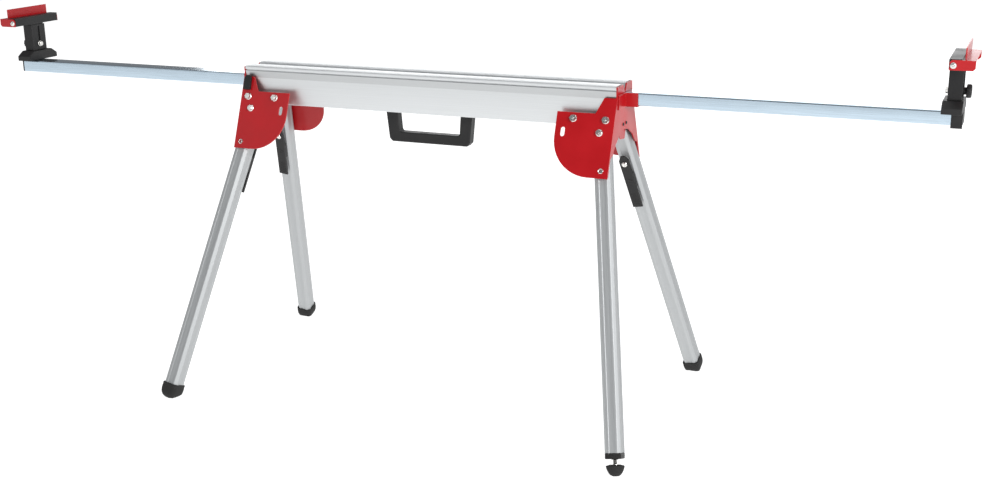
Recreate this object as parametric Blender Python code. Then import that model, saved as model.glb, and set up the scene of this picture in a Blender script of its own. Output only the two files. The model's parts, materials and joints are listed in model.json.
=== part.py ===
"""Folding mitre saw stand: a beam on four splayed legs, with two pull-out arms that carry supports.

Frame: X along the beam, -Y is the front, +Z is up, and the origin is on the floor under the
middle of the beam. All sizes are in metres, written as millimetres times MM.
"""
import math

import bmesh
import bpy
from mathutils import Matrix, Vector

MM = 0.001

# Fits
GAP = 0.3 * MM             # between two pieces that touch
RUNNING = 0.3 * MM         # radial clearance of a shaft in its hole
SLIDING = 0.4 * MM         # clearance on each side of a sliding arm
OVERLAP = 1.0 * MM         # how far joined shapes run into each other
CUT = 5.0 * MM             # how far a cutter runs past the surface

# Beam: an aluminium extrusion with two rails on top and a valley between them
BEAM_LENGTH = 1020.0 * MM
BEAM_TOP = 839.0 * MM
BEAM_HEIGHT = 98.0 * MM
BEAM_CHAMFER = 1.5 * MM
RAIL_HALF_DEPTH = 57.0 * MM
BODY_HALF_DEPTH = 53.0 * MM
RAIL_INNER_EDGE = 13.0 * MM
VALLEY_HALF_FLOOR = 5.0 * MM
BEAM_WALL = 2.4 * MM
GROOVE_DEPTH_DOWN = 8.0 * MM
GROOVE_HEIGHT = 3.5 * MM
GROOVE_DEPTH = 3.5 * MM
RAIL_NOSE_HEIGHT = 13.0 * MM
RAIL_HEIGHT = 30.0 * MM

# Arms: rectangular steel tubes that slide side by side in the beam
ARM_DEPTH = 49.9 * MM
ARM_HEIGHT = 31.0 * MM
ARM_WALL = 1.6 * MM
ARM_TOP_BELOW_BEAM = 22.0 * MM
ARM_SPLIT = 1.0 * MM       # space between the two arms
ARM_REACH = 1265.0 * MM    # from the middle of the beam to the arm's outer end
ARM_HELD = 180.0 * MM      # length that stays in the beam when pulled out
GLIDE_LENGTH = 40.0 * MM
GLIDE_HEAD = 4.0 * MM

# Leg brackets: leaning plates with an end flange
LEAN = math.radians(21.6)
PLATE = 3.5 * MM
PIVOT_FROM_END = 30.0 * MM
PIVOT_BESIDE = 36.1 * MM   # from the beam's side to the plate's outer face
PIVOT_BELOW = 7.0 * MM
PLATE_LOW = -107.0 * MM
PLATE_SHOULDER = 45.2 * MM
PLATE_INBOARD = -110.0 * MM
TAB_TOP = 83.2 * MM
TAB_INBOARD = 2.0 * MM
TAB_FOOT = -15.0 * MM
CORNER_RADIUS = 92.0 * MM
FLANGE_SEAM = 0.15 * MM
NOTCH_LOW = 24.0 * MM      # valley notch of the flange, below the beam's top
EAR_TOP = 2.0 * MM         # below the beam's top
ARCH_BELOW = 12.0 * MM     # top of the flange's arch, below the beam
ARCH_HIP = (66.0 * MM, 37.0 * MM)     # (half width, distance below the beam)
ARCH_FOOT = (88.0 * MM, 59.0 * MM)
STRIP_WIDTH = 5.5 * MM     # flange left beside the leg

# Bracket mounts: wedge blocks with studs
BOLT_ROW = 30.5 * MM       # studs above the leg pivot, up the plate
BOLT_OUTBOARD = 12.0 * MM
BOLT_INBOARD = -68.0 * MM
STUD_RADIUS = 4.0 * MM
STUD_NUT = 14.0 * MM       # across flats
STUD_NUT_HEIGHT = 7.0 * MM
WEDGE_ABOVE = 14.0 * MM    # above the beam's underside
WEDGE_HEIGHT = 15.5 * MM
WEDGE_MARGIN = 10.0 * MM

# Arm guides and arm locks
GUIDE_WALL = 2.5 * MM
GUIDE_REACH = {-1: 4.0 * MM, 1: 32.0 * MM}     # by the sign of the end
GUIDE_LIP = 0.5 * MM       # the guide's walls stop this far below the arm's top
LOCK_X = 18.0 * MM
LOCK_Z = 76.0 * MM
LOCK_WIDTH = 20.0 * MM
LOCK_LENGTH = 38.0 * MM
LOCK_THICK = 7.0 * MM
LOCK_STUD_RADIUS = 4.0 * MM
LOCK_FOOT_RADIUS = 5.5 * MM
LOCK_FOOT_THICK = 1.2 * MM

# Legs
SPLAY = math.radians(9.9)
LEG_WIDTH = 39.5 * MM
LEG_DEPTH = 42.0 * MM
LEG_CHAMFER = 7.0 * MM
LEG_WALL = 2.4 * MM
LEG_STANDOFF = 3.4 * MM    # from the plate's inner face to the leg
LEG_END_RISE = 17.55 * MM   # middle of the plain leg's cut end, above the floor
LEG_SHORTER = 32.0 * MM    # what the adjustable leg is shorter by
PIVOT_RADIUS = 5.0 * MM
PIVOT_HEX = 16.0 * MM
PIVOT_HEAD = 6.5 * MM
PIVOT_SPACER_RADIUS = 11.0 * MM

# Leg locks: a pin through the leg, pulled by a rocking lever
PIN_AT = 91.0 * MM         # from the leg pivot, along the leg
PIN_RADIUS = 4.0 * MM
PIN_HEAD_RADIUS = 7.0 * MM
PIN_HEAD_HEIGHT = 3.0 * MM
PIN_HEAD_PLAY = 1.2 * MM
SLOT_LENGTH = 23.0 * MM
SLOT_RADIUS = 5.5 * MM
SLOT_DROP = 2.5 * MM
LEVER_PIVOT_AT = 142.0 * MM
LEVER_PIVOT_RISE = 7.1 * MM
LEVER_START = 69.0 * MM
LEVER_END = 219.0 * MM
LEVER_WIDTH = 25.0 * MM
LEVER_THICK = 5.5 * MM
LEVER_RISE = 10.6 * MM     # underside above the leg's face
LEVER_POINT = 12.0 * MM
LEVER_CHEEK = 3.0 * MM
LEVER_CHEEK_LENGTH = 40.0 * MM
LEVER_PIN_RADIUS = 2.5 * MM
LEVER_HOLE_RADIUS = 6.2 * MM
HINGE_PLATE = 1.8 * MM
HINGE_LUG = 12.0 * MM

# Feet
CAP_WALL = 3.0 * MM
CAP_GRIP = 18.0 * MM
CAP_DOME_RADIUS = 32.0 * MM
CAP_FLAT = 1.0 * MM        # how much of the dome the floor takes off
COLLAR_HEIGHT = 13.3 * MM
COLLAR_PLUG = 25.0 * MM
SCREW_RADIUS = 5.0 * MM
SCREW_BARE = 13.0 * MM     # rod seen between the collar and the foot
SCREW_INSIDE = 60.0 * MM
SCREW_SEAT = 4.0 * MM
PAD_RADIUS = 21.5 * MM
PAD_RIM = 4.0 * MM
PAD_FLAT_RADIUS = 9.0 * MM

# Handle under the beam
HANDLE_TOP_HALF = 121.0 * MM
HANDLE_LOW_HALF = 113.0 * MM
HANDLE_DROP = 84.0 * MM
HANDLE_BAR = 26.0 * MM
HANDLE_STRAP = 32.0 * MM
HANDLE_DEPTH = 26.0 * MM
HANDLE_CHAMFER = 8.0 * MM

# Supports at the arms' ends
SUPPORT_INSET = 14.0 * MM  # middle of the support, inboard of the arm's end
SUPPORT_Y = 10.0 * MM
BASE_LENGTH = 43.0 * MM
BASE_HALF_WIDTH = 56.0 * MM
BASE_TOP_HALF_WIDTH = 36.0 * MM
BASE_RISE = 26.0 * MM
BASE_SHOULDER = 13.0 * MM
CAP_OVER_ARM = 19.0 * MM
CAP_END = 5.0 * MM
CAP_SKIN = 2.4 * MM
CAP_BELOW = 6.0 * MM
UPRIGHT_DEPTH = 30.0 * MM
UPRIGHT_WIDTH = 53.0 * MM
UPRIGHT_HEIGHT = 72.0 * MM
SHEET = 2.5 * MM
POST_DEPTH = 23.2 * MM
POST_WALL = 2.0 * MM
POST_FOOT = 3.0 * MM
CROSSBAR_HALF = 84.0 * MM
CROSSBAR_DEPTH = 26.0 * MM
CROSSBAR_RISE = 96.4 * MM  # above the upright's foot
CROSSBAR_HEIGHT = 22.0 * MM
STOP_PIN_INSET = 18.0 * MM
STOP_PIN_DROP = 13.0 * MM
STOP_PIN_RADIUS = 4.0 * MM
STOP_PIN_HEAD_RADIUS = 7.0 * MM
STOP_PIN_HEAD = 3.0 * MM
STOP_AHEAD = 4.0 * MM      # inner face of the stop, beyond the arm's end
STOP_SHELF = 22.0 * MM
STOP_RISE = 24.0 * MM      # above the crossbar
LEDGE_DROP = 1.5 * MM      # below the crossbar's top
STOP_ARM_HEIGHT = 21.5 * MM
STOP_ARM_INSET = 26.0 * MM
STOP_HALF = 78.0 * MM
CLAMP_RISE = 17.4 * MM     # above the upright's foot
CLAMP_RADIUS = 4.0 * MM
CLAMP_HEAD_RADIUS = 8.0 * MM
CLAMP_HEAD = 2.5 * MM
CLAMP_SLOT_BELOW = 6.0 * MM
CLAMP_SLOT_ABOVE = 50.0 * MM
KNOB_RADIUS = 15.0 * MM
KNOB_THICK = 11.0 * MM
KNOB_HUB_RADIUS = 8.0 * MM
KNOB_HUB = 9.7 * MM
KNOB_CAP = 4.0 * MM

ROUND_SIDES = 20
FINE_SIDES = 28

SIDES = {"left": -1, "right": 1}
ROWS = {"front": -1, "rear": 1}

# Sizes that follow from the ones above
BEAM_END = BEAM_LENGTH / 2
BEAM_LOW = BEAM_TOP - BEAM_HEIGHT
PIVOT_X = BEAM_END - PIVOT_FROM_END
PIVOT_Y = BODY_HALF_DEPTH + PIVOT_BESIDE
PIVOT_Z = BEAM_LOW - PIVOT_BELOW
ARCH_TOP = BEAM_LOW - ARCH_BELOW
ARCH_SHOULDER = (ARCH_HIP[0], BEAM_LOW - ARCH_HIP[1])
ARCH_END = (ARCH_FOOT[0], BEAM_LOW - ARCH_FOOT[1])
WEDGE_LOW = BEAM_LOW + WEDGE_ABOVE
WEDGE_HIGH = WEDGE_LOW + WEDGE_HEIGHT
ARM_TOP = BEAM_TOP - ARM_TOP_BELOW_BEAM
ARM_LOW = ARM_TOP - ARM_HEIGHT
ARM_NEAR = ARM_SPLIT / 2
ARM_FAR = ARM_NEAR + ARM_DEPTH
CAVITY_TOP = ARM_TOP + SLIDING
CAVITY_LOW = ARM_LOW - SLIDING
VALLEY_FLOOR = CAVITY_TOP + BEAM_WALL
ARM_INNER_END = BEAM_END - ARM_HELD
FLANGE_IN = BEAM_END + GAP
FLANGE_OUT = FLANGE_IN + PLATE
PLATE_OUTBOARD = FLANGE_OUT - PIVOT_X
LEG_OFFSET = PLATE + LEG_STANDOFF + LEG_DEPTH / 2     # leg's centre, from the plate's outer face
LEG_DROP = PIVOT_Z - LEG_OFFSET * math.sin(LEAN) - LEG_END_RISE
LEG_LENGTH = LEG_DROP / (math.cos(SPLAY) * math.cos(LEAN))   # from the pivot to the plain leg's cut end
LEG_FACE = LEG_OFFSET + LEG_DEPTH / 2
LEG_BACK = LEG_OFFSET - LEG_DEPTH / 2
LEVER_PIVOT_Y = LEG_FACE + LEVER_PIVOT_RISE
LEVER_UNDER = LEG_FACE + LEVER_RISE
LEVER_FACE = LEVER_UNDER + LEVER_THICK
SUPPORT_FLOOR = ARM_TOP + GAP
UPRIGHT_LOW = SUPPORT_FLOOR + BASE_RISE + GAP
SUPPORT_X = ARM_REACH - SUPPORT_INSET
UPRIGHT_IN = SUPPORT_X - UPRIGHT_DEPTH / 2
POST_IN = UPRIGHT_IN + SHEET + GAP
POST_HALF = UPRIGHT_WIDTH / 2 - SHEET - GAP
CROSSBAR_TOP = UPRIGHT_LOW + CROSSBAR_RISE
STOP_PIN_X = ARM_REACH - STOP_PIN_INSET
STOP_PIN_Z = CROSSBAR_TOP - STOP_PIN_DROP
STOP_FACE_X = ARM_REACH + STOP_AHEAD
STOP_REACH_X = STOP_FACE_X + STOP_SHELF
STOP_TOP = CROSSBAR_TOP + STOP_RISE
STOP_LEDGE = CROSSBAR_TOP - LEDGE_DROP
STOP_ARM_LOW = STOP_LEDGE - STOP_ARM_HEIGHT
STOP_ARM_IN = ARM_REACH - STOP_ARM_INSET
CLAMP_Z = UPRIGHT_LOW + CLAMP_RISE
CLAMP_SLOT_LOW = CLAMP_Z - CLAMP_SLOT_BELOW
CLAMP_SLOT_HIGH = CLAMP_Z + CLAMP_SLOT_ABOVE


# Shapes

def prism(axis, outline, low, high):
    """Extrude an outline along an axis: X takes (y, z) points, Y takes (x, z) and Z takes (x, y)."""
    place = {
        "X": lambda a, b, t: (t, a, b),
        "Y": lambda a, b, t: (a, t, b),
        "Z": lambda a, b, t: (a, b, t),
    }[axis]
    bm = bmesh.new()
    near = [bm.verts.new(place(a, b, low)) for a, b in outline]
    far = [bm.verts.new(place(a, b, high)) for a, b in outline]
    bm.faces.new(near)
    bm.faces.new(far)
    for i in range(len(outline)):
        j = (i + 1) % len(outline)
        bm.faces.new((near[i], near[j], far[j], far[i]))
    bmesh.ops.recalc_face_normals(bm, faces=bm.faces)
    return bm


def box(low, high):
    """A box between two corners."""
    outline = [(low[0], low[1]), (high[0], low[1]), (high[0], high[1]), (low[0], high[1])]
    return prism("Z", outline, low[2], high[2])


def circle(center, radius, sides, start=0.0):
    """Points round a circle."""
    turn = 2 * math.pi / sides
    return [
        (center[0] + radius * math.cos(start + i * turn), center[1] + radius * math.sin(start + i * turn))
        for i in range(sides)
    ]


def rod(axis, center, radius, low, high, sides=ROUND_SIDES):
    """A round bar along an axis."""
    return prism(axis, circle(center, radius, sides), low, high)


def hex_bar(axis, center, across_flats, low, high):
    """A six-sided bar, as a bolt head or a nut."""
    return prism(axis, circle(center, across_flats / math.sqrt(3), 6), low, high)


def arc(center, radius, start, end, steps):
    """Points along an arc, angles in degrees."""
    angles = [math.radians(start + (end - start) * i / steps) for i in range(steps + 1)]
    return [(center[0] + radius * math.cos(a), center[1] + radius * math.sin(a)) for a in angles]


def chamfered(half_a, half_b, chamfer, center=(0.0, 0.0)):
    """A rectangle with its four corners cut off."""
    ca, cb = center
    corners = [
        (half_a, half_b - chamfer), (half_a - chamfer, half_b), (chamfer - half_a, half_b),
        (-half_a, half_b - chamfer), (-half_a, chamfer - half_b), (chamfer - half_a, -half_b),
        (half_a - chamfer, -half_b), (half_a, chamfer - half_b),
    ]
    return [(ca + a, cb + b) for a, b in corners]


def mirrored_outline(half):
    """Close an outline that is given for one side only, from the middle outward and back."""
    return half + [(-a, b) for a, b in reversed(half)]


def sphere(center, radius):
    """A ball with its poles on Z."""
    bm = bmesh.new()
    bmesh.ops.create_uvsphere(bm, u_segments=32, v_segments=24, radius=radius)
    bmesh.ops.translate(bm, verts=bm.verts, vec=center)
    return bm


def temporary(bm):
    """An object that lives only while a Boolean is worked out."""
    mesh = bpy.data.meshes.new("temporary")
    bm.to_mesh(mesh)
    bm.free()
    item = bpy.data.objects.new("temporary", mesh)
    bpy.context.scene.collection.objects.link(item)
    return item


def combine(first, others, operation):
    """Join, cut or intersect a shape with others, and return the result."""
    if not others:
        return first
    base = temporary(first)
    tools = [temporary(other) for other in others]
    for tool in tools:
        step = base.modifiers.new("step", "BOOLEAN")
        step.operation = operation
        step.solver = "EXACT"
        step.object = tool
    graph = bpy.context.evaluated_depsgraph_get()
    result = bmesh.new()
    result.from_mesh(base.evaluated_get(graph).to_mesh())
    for item in [base, *tools]:
        mesh = item.data
        bpy.data.objects.remove(item)
        bpy.data.meshes.remove(mesh)
    bmesh.ops.dissolve_degenerate(result, dist=0.000001, edges=result.edges)
    return result


def joined(*shapes):
    """One body from shapes that run into each other."""
    return combine(shapes[0], list(shapes[1:]), "UNION")


def cut(shape, *tools):
    """A shape with the tools' space taken out of it."""
    return combine(shape, list(tools), "DIFFERENCE")


def turned(shape, matrix):
    """A shape moved by a matrix."""
    bmesh.ops.transform(shape, matrix=matrix, verts=shape.verts)
    return shape


# Objects

def material(name, colour, roughness, metallic):
    """A plain surface with one colour."""
    surface = bpy.data.materials.new(name)
    surface.use_nodes = True
    shader = surface.node_tree.nodes["Principled BSDF"]
    shader.inputs["Base Color"].default_value = (*colour, 1.0)
    shader.inputs["Roughness"].default_value = roughness
    shader.inputs["Metallic"].default_value = metallic
    return surface


def put(name, shape, surface, frame=None, hand=(1, 1, 1), origin=(0.0, 0.0, 0.0)):
    """Make a node from a shape drawn in a frame's axes, mirrored by hand, with its own origin."""
    mirror = Matrix.Diagonal((*hand, 1.0))
    frame = frame or Matrix.Identity(4)
    bmesh.ops.translate(shape, verts=shape.verts, vec=-Vector(origin))
    bmesh.ops.transform(shape, matrix=mirror, verts=shape.verts)
    if mirror.determinant() < 0:
        bmesh.ops.reverse_faces(shape, faces=shape.faces)
    mesh = bpy.data.meshes.new(name)
    shape.to_mesh(mesh)
    shape.free()
    mesh.materials.append(surface)
    item = bpy.data.objects.new(name, mesh)
    bpy.context.scene.collection.objects.link(item)
    item.matrix_world = frame @ Matrix.Translation(mirror @ Vector(origin))
    return item


def plate_frame(side, row):
    """A corner's frame: x along the beam, y inward through the plate, z up the plate, at the pivot."""
    place = Matrix.Translation((side * PIVOT_X, row * PIVOT_Y, PIVOT_Z))
    return place @ Matrix.Rotation(row * LEAN, 4, "X")


def end_frame(side):
    """The frame of one end: the left end is the right end turned half round."""
    return Matrix.Rotation(0.0 if side > 0 else math.pi, 4, "Z")


def down_leg(shape):
    """Turn a shape drawn along a plumb leg to the leg's own splay."""
    return turned(shape, Matrix.Rotation(-SPLAY, 4, "Y"))


def leg_point(x, y, z):
    """Turn a point drawn along a plumb leg to the leg's own splay."""
    return Matrix.Rotation(-SPLAY, 4, "Y") @ Vector((x, y, z))


def put_on_corner(name, shape, surface, side, row, origin=(0.0, 0.0, 0.0)):
    """Place a shape that is drawn in the plate frame of the front right corner."""
    put(name, shape, surface, plate_frame(side, row), (side, -row, 1), origin)


def plate_face(z, inward=0.0):
    """How far from the middle the leaning plate is at a height, measured at a depth inside it."""
    return PIVOT_Y + (PIVOT_Z - z) * math.tan(LEAN) - inward / math.cos(LEAN)


# Beam and handle

def beam_outline():
    """Half of the beam's section, from the valley's floor round to the bottom."""
    groove_top = BEAM_TOP - GROOVE_DEPTH_DOWN
    return [
        (VALLEY_HALF_FLOOR, VALLEY_FLOOR),
        (RAIL_INNER_EDGE, BEAM_TOP),
        (RAIL_HALF_DEPTH - OVERLAP, BEAM_TOP),
        (RAIL_HALF_DEPTH, BEAM_TOP - OVERLAP),
        (RAIL_HALF_DEPTH, groove_top),
        (RAIL_HALF_DEPTH - GROOVE_DEPTH, groove_top),
        (RAIL_HALF_DEPTH - GROOVE_DEPTH, groove_top - GROOVE_HEIGHT),
        (RAIL_HALF_DEPTH, groove_top - GROOVE_HEIGHT),
        (RAIL_HALF_DEPTH, BEAM_TOP - RAIL_NOSE_HEIGHT),
        (BODY_HALF_DEPTH, BEAM_TOP - RAIL_HEIGHT),
        (BODY_HALF_DEPTH, BEAM_LOW + BEAM_CHAMFER),
        (BODY_HALF_DEPTH - BEAM_CHAMFER, BEAM_LOW),
    ]


def make_beam(surface):
    """The extrusion: two hollow rails, a chamber for the arms and a chamber below it."""
    ends = (-BEAM_END - CUT, BEAM_END + CUT)
    half = BODY_HALF_DEPTH - BEAM_WALL
    arm_half = ARM_FAR + SLIDING
    arm_room = chamfered(arm_half, (CAVITY_TOP - CAVITY_LOW) / 2, BEAM_WALL / 4,
                         (0.0, (CAVITY_TOP + CAVITY_LOW) / 2))
    low_room = [
        (-half, BEAM_LOW + BEAM_WALL), (half, BEAM_LOW + BEAM_WALL),
        (half, CAVITY_LOW - BEAM_WALL), (-half, CAVITY_LOW - BEAM_WALL),
    ]
    rail_low = CAVITY_TOP + BEAM_WALL
    rail_high = BEAM_TOP - BEAM_WALL
    rail_near = RAIL_INNER_EDGE + BEAM_WALL
    rail_far = RAIL_HALF_DEPTH - GROOVE_DEPTH - BEAM_WALL
    rooms = [arm_room, low_room]
    for way in (-1, 1):
        rooms.append([(way * rail_near, rail_low), (way * rail_far, rail_low),
                      (way * rail_far, rail_high), (way * rail_near, rail_high)])
    body = prism("X", mirrored_outline(beam_outline()), -BEAM_END, BEAM_END)
    put("beam", cut(body, *[prism("X", room, *ends) for room in rooms]), surface)


def make_handle(surface):
    """The carrying handle: a deep strap bent to a U below the beam."""
    top = BEAM_LOW - GAP
    low = BEAM_LOW - HANDLE_DROP
    inner_low = low + HANDLE_BAR
    inner_top_half = HANDLE_TOP_HALF - HANDLE_STRAP
    inner_low_half = HANDLE_LOW_HALF - HANDLE_STRAP + HANDLE_CHAMFER / 2
    half = [
        (HANDLE_LOW_HALF - HANDLE_CHAMFER, low),
        (HANDLE_LOW_HALF, low + HANDLE_CHAMFER),
        (HANDLE_TOP_HALF, top),
        (inner_top_half, top),
        (inner_low_half, inner_low + HANDLE_CHAMFER / 2),
        (inner_low_half - HANDLE_CHAMFER / 2, inner_low),
    ]
    put("carry_handle", prism("Y", mirrored_outline(half), -HANDLE_DEPTH / 2, HANDLE_DEPTH / 2), surface)


# Leg brackets

def plate_outline():
    """The leaning plate: a tab above the shoulder, and a quarter round at the inboard lower corner."""
    centre = (PLATE_INBOARD + CORNER_RADIUS, PLATE_LOW + CORNER_RADIUS)
    return [
        (PLATE_OUTBOARD, PLATE_LOW), (PLATE_OUTBOARD, TAB_TOP), (TAB_INBOARD, TAB_TOP),
        (TAB_FOOT, PLATE_SHOULDER), (PLATE_INBOARD, PLATE_SHOULDER),
        *arc(centre, CORNER_RADIUS, 180.0, 270.0, 12),
    ]


def flange_outline():
    """Half of the end flange as (distance from the middle, height): ear, seam and leg arch."""
    foot = PIVOT_Z + PLATE_LOW * math.cos(LEAN) + OVERLAP
    ear_low = PIVOT_Z + TAB_TOP * math.cos(LEAN)
    inside = OVERLAP
    strip_top = ARCH_END[1] - STRIP_WIDTH
    strip = STRIP_WIDTH + inside
    return [
        (FLANGE_SEAM, BEAM_TOP - NOTCH_LOW),
        (RAIL_INNER_EDGE, BEAM_TOP - EAR_TOP),
        (RAIL_HALF_DEPTH - OVERLAP, BEAM_TOP - EAR_TOP),
        (RAIL_HALF_DEPTH, BEAM_TOP - RAIL_NOSE_HEIGHT),
        (plate_face(ear_low, inside), ear_low),
        (plate_face(foot, inside), foot),
        (plate_face(foot, strip), foot),
        (plate_face(strip_top, strip), strip_top),
        ARCH_END,
        ARCH_SHOULDER,
        (ARCH_SHOULDER[0] / 2, (ARCH_TOP * 3 + ARCH_SHOULDER[1]) / 4),
        (FLANGE_SEAM, ARCH_TOP),
    ]


def make_bracket(name, side, row, surface):
    """One half of an end's leg bracket: the leaning plate and its end flange, with their holes."""
    plate = prism("Y", plate_outline(), 0.0, PLATE)
    through = (-CUT, PLATE + CUT)
    holes = [
        rod("Y", (BOLT_OUTBOARD, BOLT_ROW), STUD_RADIUS + RUNNING, *through),
        rod("Y", (BOLT_INBOARD, BOLT_ROW), STUD_RADIUS + RUNNING, *through),
        rod("Y", (0.0, 0.0), PIVOT_RADIUS + RUNNING, *through),
    ]
    pin = leg_point(0.0, 0.0, -PIN_AT)
    pin_hole = PIN_RADIUS + RUNNING
    holes.append(rod("Y", (pin.x, pin.z), pin_hole, *through))
    slot_half = SLOT_LENGTH / 2 - SLOT_RADIUS
    slot = [
        *arc((-PIN_AT, slot_half - SLOT_DROP), SLOT_RADIUS, 0.0, 180.0, 8),
        *arc((-PIN_AT, -slot_half - SLOT_DROP), SLOT_RADIUS, 180.0, 360.0, 8),
    ]
    holes.append(prism("Y", slot, *through))
    if side == row:
        holes.append(rod("Y", (LOCK_X, LOCK_Z), LOCK_STUD_RADIUS + RUNNING, *through))
    plate = turned(cut(plate, *holes), plate_frame(1, -1))
    flange = prism("X", [(-a, b) for a, b in flange_outline()], FLANGE_IN, FLANGE_OUT)
    if side == row:
        window = (FLANGE_IN - CUT, -ARM_FAR - SLIDING, CAVITY_LOW), (FLANGE_OUT + CUT, CUT, CAVITY_TOP)
        flange = cut(flange, box(*window))
    put(name, joined(plate, flange), surface, hand=(side, -row, 1))


def make_bracket_mount(name, side, row, surface):
    """The wedge that fills the space between plate and beam, with its two studs and their nuts."""
    beam_face = -BODY_HALF_DEPTH - GAP
    outline = [
        (beam_face, WEDGE_LOW), (beam_face, WEDGE_HIGH),
        (-plate_face(WEDGE_HIGH, PLATE + GAP), WEDGE_HIGH),
        (-plate_face(WEDGE_LOW, PLATE + GAP), WEDGE_LOW),
    ]
    start = PIVOT_X + BOLT_INBOARD - WEDGE_MARGIN
    shapes = [prism("X", outline, start, PIVOT_X + BOLT_OUTBOARD + WEDGE_MARGIN)]
    for x in (BOLT_INBOARD, BOLT_OUTBOARD):
        nut_top = -GAP - STUD_NUT_HEIGHT
        stud = rod("Y", (x, BOLT_ROW), STUD_RADIUS, nut_top - OVERLAP, PLATE + 2 * OVERLAP)
        nut = hex_bar("Y", (x, BOLT_ROW), STUD_NUT, nut_top, -GAP)
        shapes += [turned(stud, plate_frame(1, -1)), turned(nut, plate_frame(1, -1))]
    put(name, joined(*shapes), surface, hand=(side, -row, 1))


def make_leg_bolt(name, side, row, surface):
    """The leg's pivot bolt: head, spacer between plate and leg, shank and nut."""
    nut = LEG_FACE + GAP
    shape = joined(
        rod("Y", (0.0, 0.0), PIVOT_RADIUS, -GAP - PIVOT_HEAD / 2, nut + PIVOT_HEAD / 2),
        hex_bar("Y", (0.0, 0.0), PIVOT_HEX, -GAP - PIVOT_HEAD, -GAP),
        rod("Y", (0.0, 0.0), PIVOT_SPACER_RADIUS, PLATE + GAP, LEG_BACK - GAP),
        hex_bar("Y", (0.0, 0.0), PIVOT_HEX, nut, nut + PIVOT_HEAD),
    )
    put_on_corner(name, shape, surface, side, row)


# Legs

def make_leg(name, side, row, length, surface):
    """A hollow leg with cut corners, a round top end, and holes for the pivot and the lock pin."""
    half = LEG_WIDTH / 2
    centre = (0.0, LEG_OFFSET)
    body = prism("Z", chamfered(half, LEG_DEPTH / 2, LEG_CHAMFER, centre), -length, half + CUT)
    side_view = [(-half - CUT, -length - CUT), (half + CUT, -length - CUT), (half + CUT, 0.0),
                 *arc((0.0, 0.0), half - GAP, 0.0, 180.0, 16), (-half - CUT, 0.0)]
    rounded = combine(body, [prism("Y", side_view, LEG_BACK - CUT, LEG_FACE + CUT)], "INTERSECT")
    bore = chamfered(half - LEG_WALL, LEG_DEPTH / 2 - LEG_WALL, LEG_CHAMFER - LEG_WALL / 2, centre)
    shape = cut(
        rounded,
        prism("Z", bore, -length - CUT, half + CUT),
        rod("Y", (0.0, 0.0), PIVOT_RADIUS + RUNNING, LEG_BACK - CUT, LEG_FACE + CUT),
        rod("Y", (0.0, -PIN_AT), PIN_RADIUS + RUNNING, LEG_BACK - CUT, LEG_FACE + CUT),
    )
    put_on_corner(name, down_leg(shape), surface, side, row)


def floor_cutter(side_frame):
    """Everything below the floor, seen from a leg's frame."""
    reach = 2 * BEAM_HEIGHT
    below = box((-BEAM_LENGTH, -BEAM_LENGTH, -reach), (BEAM_LENGTH, BEAM_LENGTH, 0.0))
    return turned(below, side_frame.inverted())


def dome_centre(radius):
    """Where on the leg's axis a dome's centre is, so that the floor takes off its flat."""
    drop = PIVOT_Z - LEG_OFFSET * math.sin(LEAN) - (radius - CAP_FLAT)
    return drop / (math.cos(LEAN) * math.cos(SPLAY))


def make_foot_cap(name, side, row, surface):
    """The boot of a plain leg: a sleeve with a domed sole that stands flat on the floor."""
    half_a = LEG_WIDTH / 2 + CAP_WALL
    half_b = LEG_DEPTH / 2 + CAP_WALL
    centre = (0.0, LEG_OFFSET)
    top = -LEG_LENGTH + CAP_GRIP
    middle = -dome_centre(CAP_DOME_RADIUS)
    sleeve = prism("Z", chamfered(half_a, half_b, LEG_CHAMFER + CAP_WALL, centre),
                   middle - CAP_DOME_RADIUS - CUT, top)
    dome = sphere((0.0, LEG_OFFSET, middle), CAP_DOME_RADIUS)
    lower = combine(sleeve, [dome], "INTERSECT")
    socket = prism("Z", chamfered(LEG_WIDTH / 2 + GAP, LEG_DEPTH / 2 + GAP, LEG_CHAMFER, centre),
                   -LEG_LENGTH - GAP, top + CUT)
    world = plate_frame(1, -1) @ Matrix.Rotation(-SPLAY, 4, "Y")
    put_on_corner(name, down_leg(cut(lower, socket, floor_cutter(world))), surface, side, row)


def make_levelling_foot(side, row, collar_surface, screw_surface, pad_surface):
    """The adjustable leg's end: a collar in the leg, a threaded rod and a rubber pad."""
    end = -LEG_LENGTH + LEG_SHORTER
    centre = (0.0, LEG_OFFSET)
    collar = joined(
        prism("Z", chamfered(LEG_WIDTH / 2 + GAP, LEG_DEPTH / 2 + GAP, LEG_CHAMFER, centre),
              end - GAP - COLLAR_HEIGHT, end - GAP),
        prism("Z", chamfered(LEG_WIDTH / 2 - LEG_WALL - GAP, LEG_DEPTH / 2 - LEG_WALL - GAP,
                             LEG_CHAMFER, centre), end - GAP - OVERLAP, end + COLLAR_PLUG),
    )
    collar_low = end - GAP - COLLAR_HEIGHT
    bored = cut(collar, rod("Z", centre, SCREW_RADIUS + RUNNING, collar_low - CUT, end + COLLAR_PLUG + CUT))
    put_on_corner("levelling_collar", down_leg(bored), collar_surface, side, row)

    pad_top = collar_low - SCREW_BARE
    screw_low = pad_top - SCREW_SEAT
    screw = rod("Z", centre, SCREW_RADIUS, screw_low, end + SCREW_INSIDE)
    axis = tuple(leg_point(0.0, LEG_OFFSET, 0.0))
    put_on_corner("levelling_screw", down_leg(screw), screw_surface, side, row, axis)

    world = plate_frame(1, -1) @ Matrix.Rotation(-SPLAY, 4, "Y")
    sole = -dome_centre(0.0)
    pad = cone_stack(centre, [
        (PAD_RADIUS, pad_top), (PAD_RADIUS, pad_top - PAD_RIM),
        (PAD_FLAT_RADIUS, sole - CAP_FLAT),
    ])
    seat = rod("Z", centre, SCREW_RADIUS + RUNNING, screw_low - GAP, pad_top + CUT)
    put_on_corner("levelling_pad", down_leg(cut(pad, seat, floor_cutter(world))), pad_surface,
                  side, row, axis)


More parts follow.
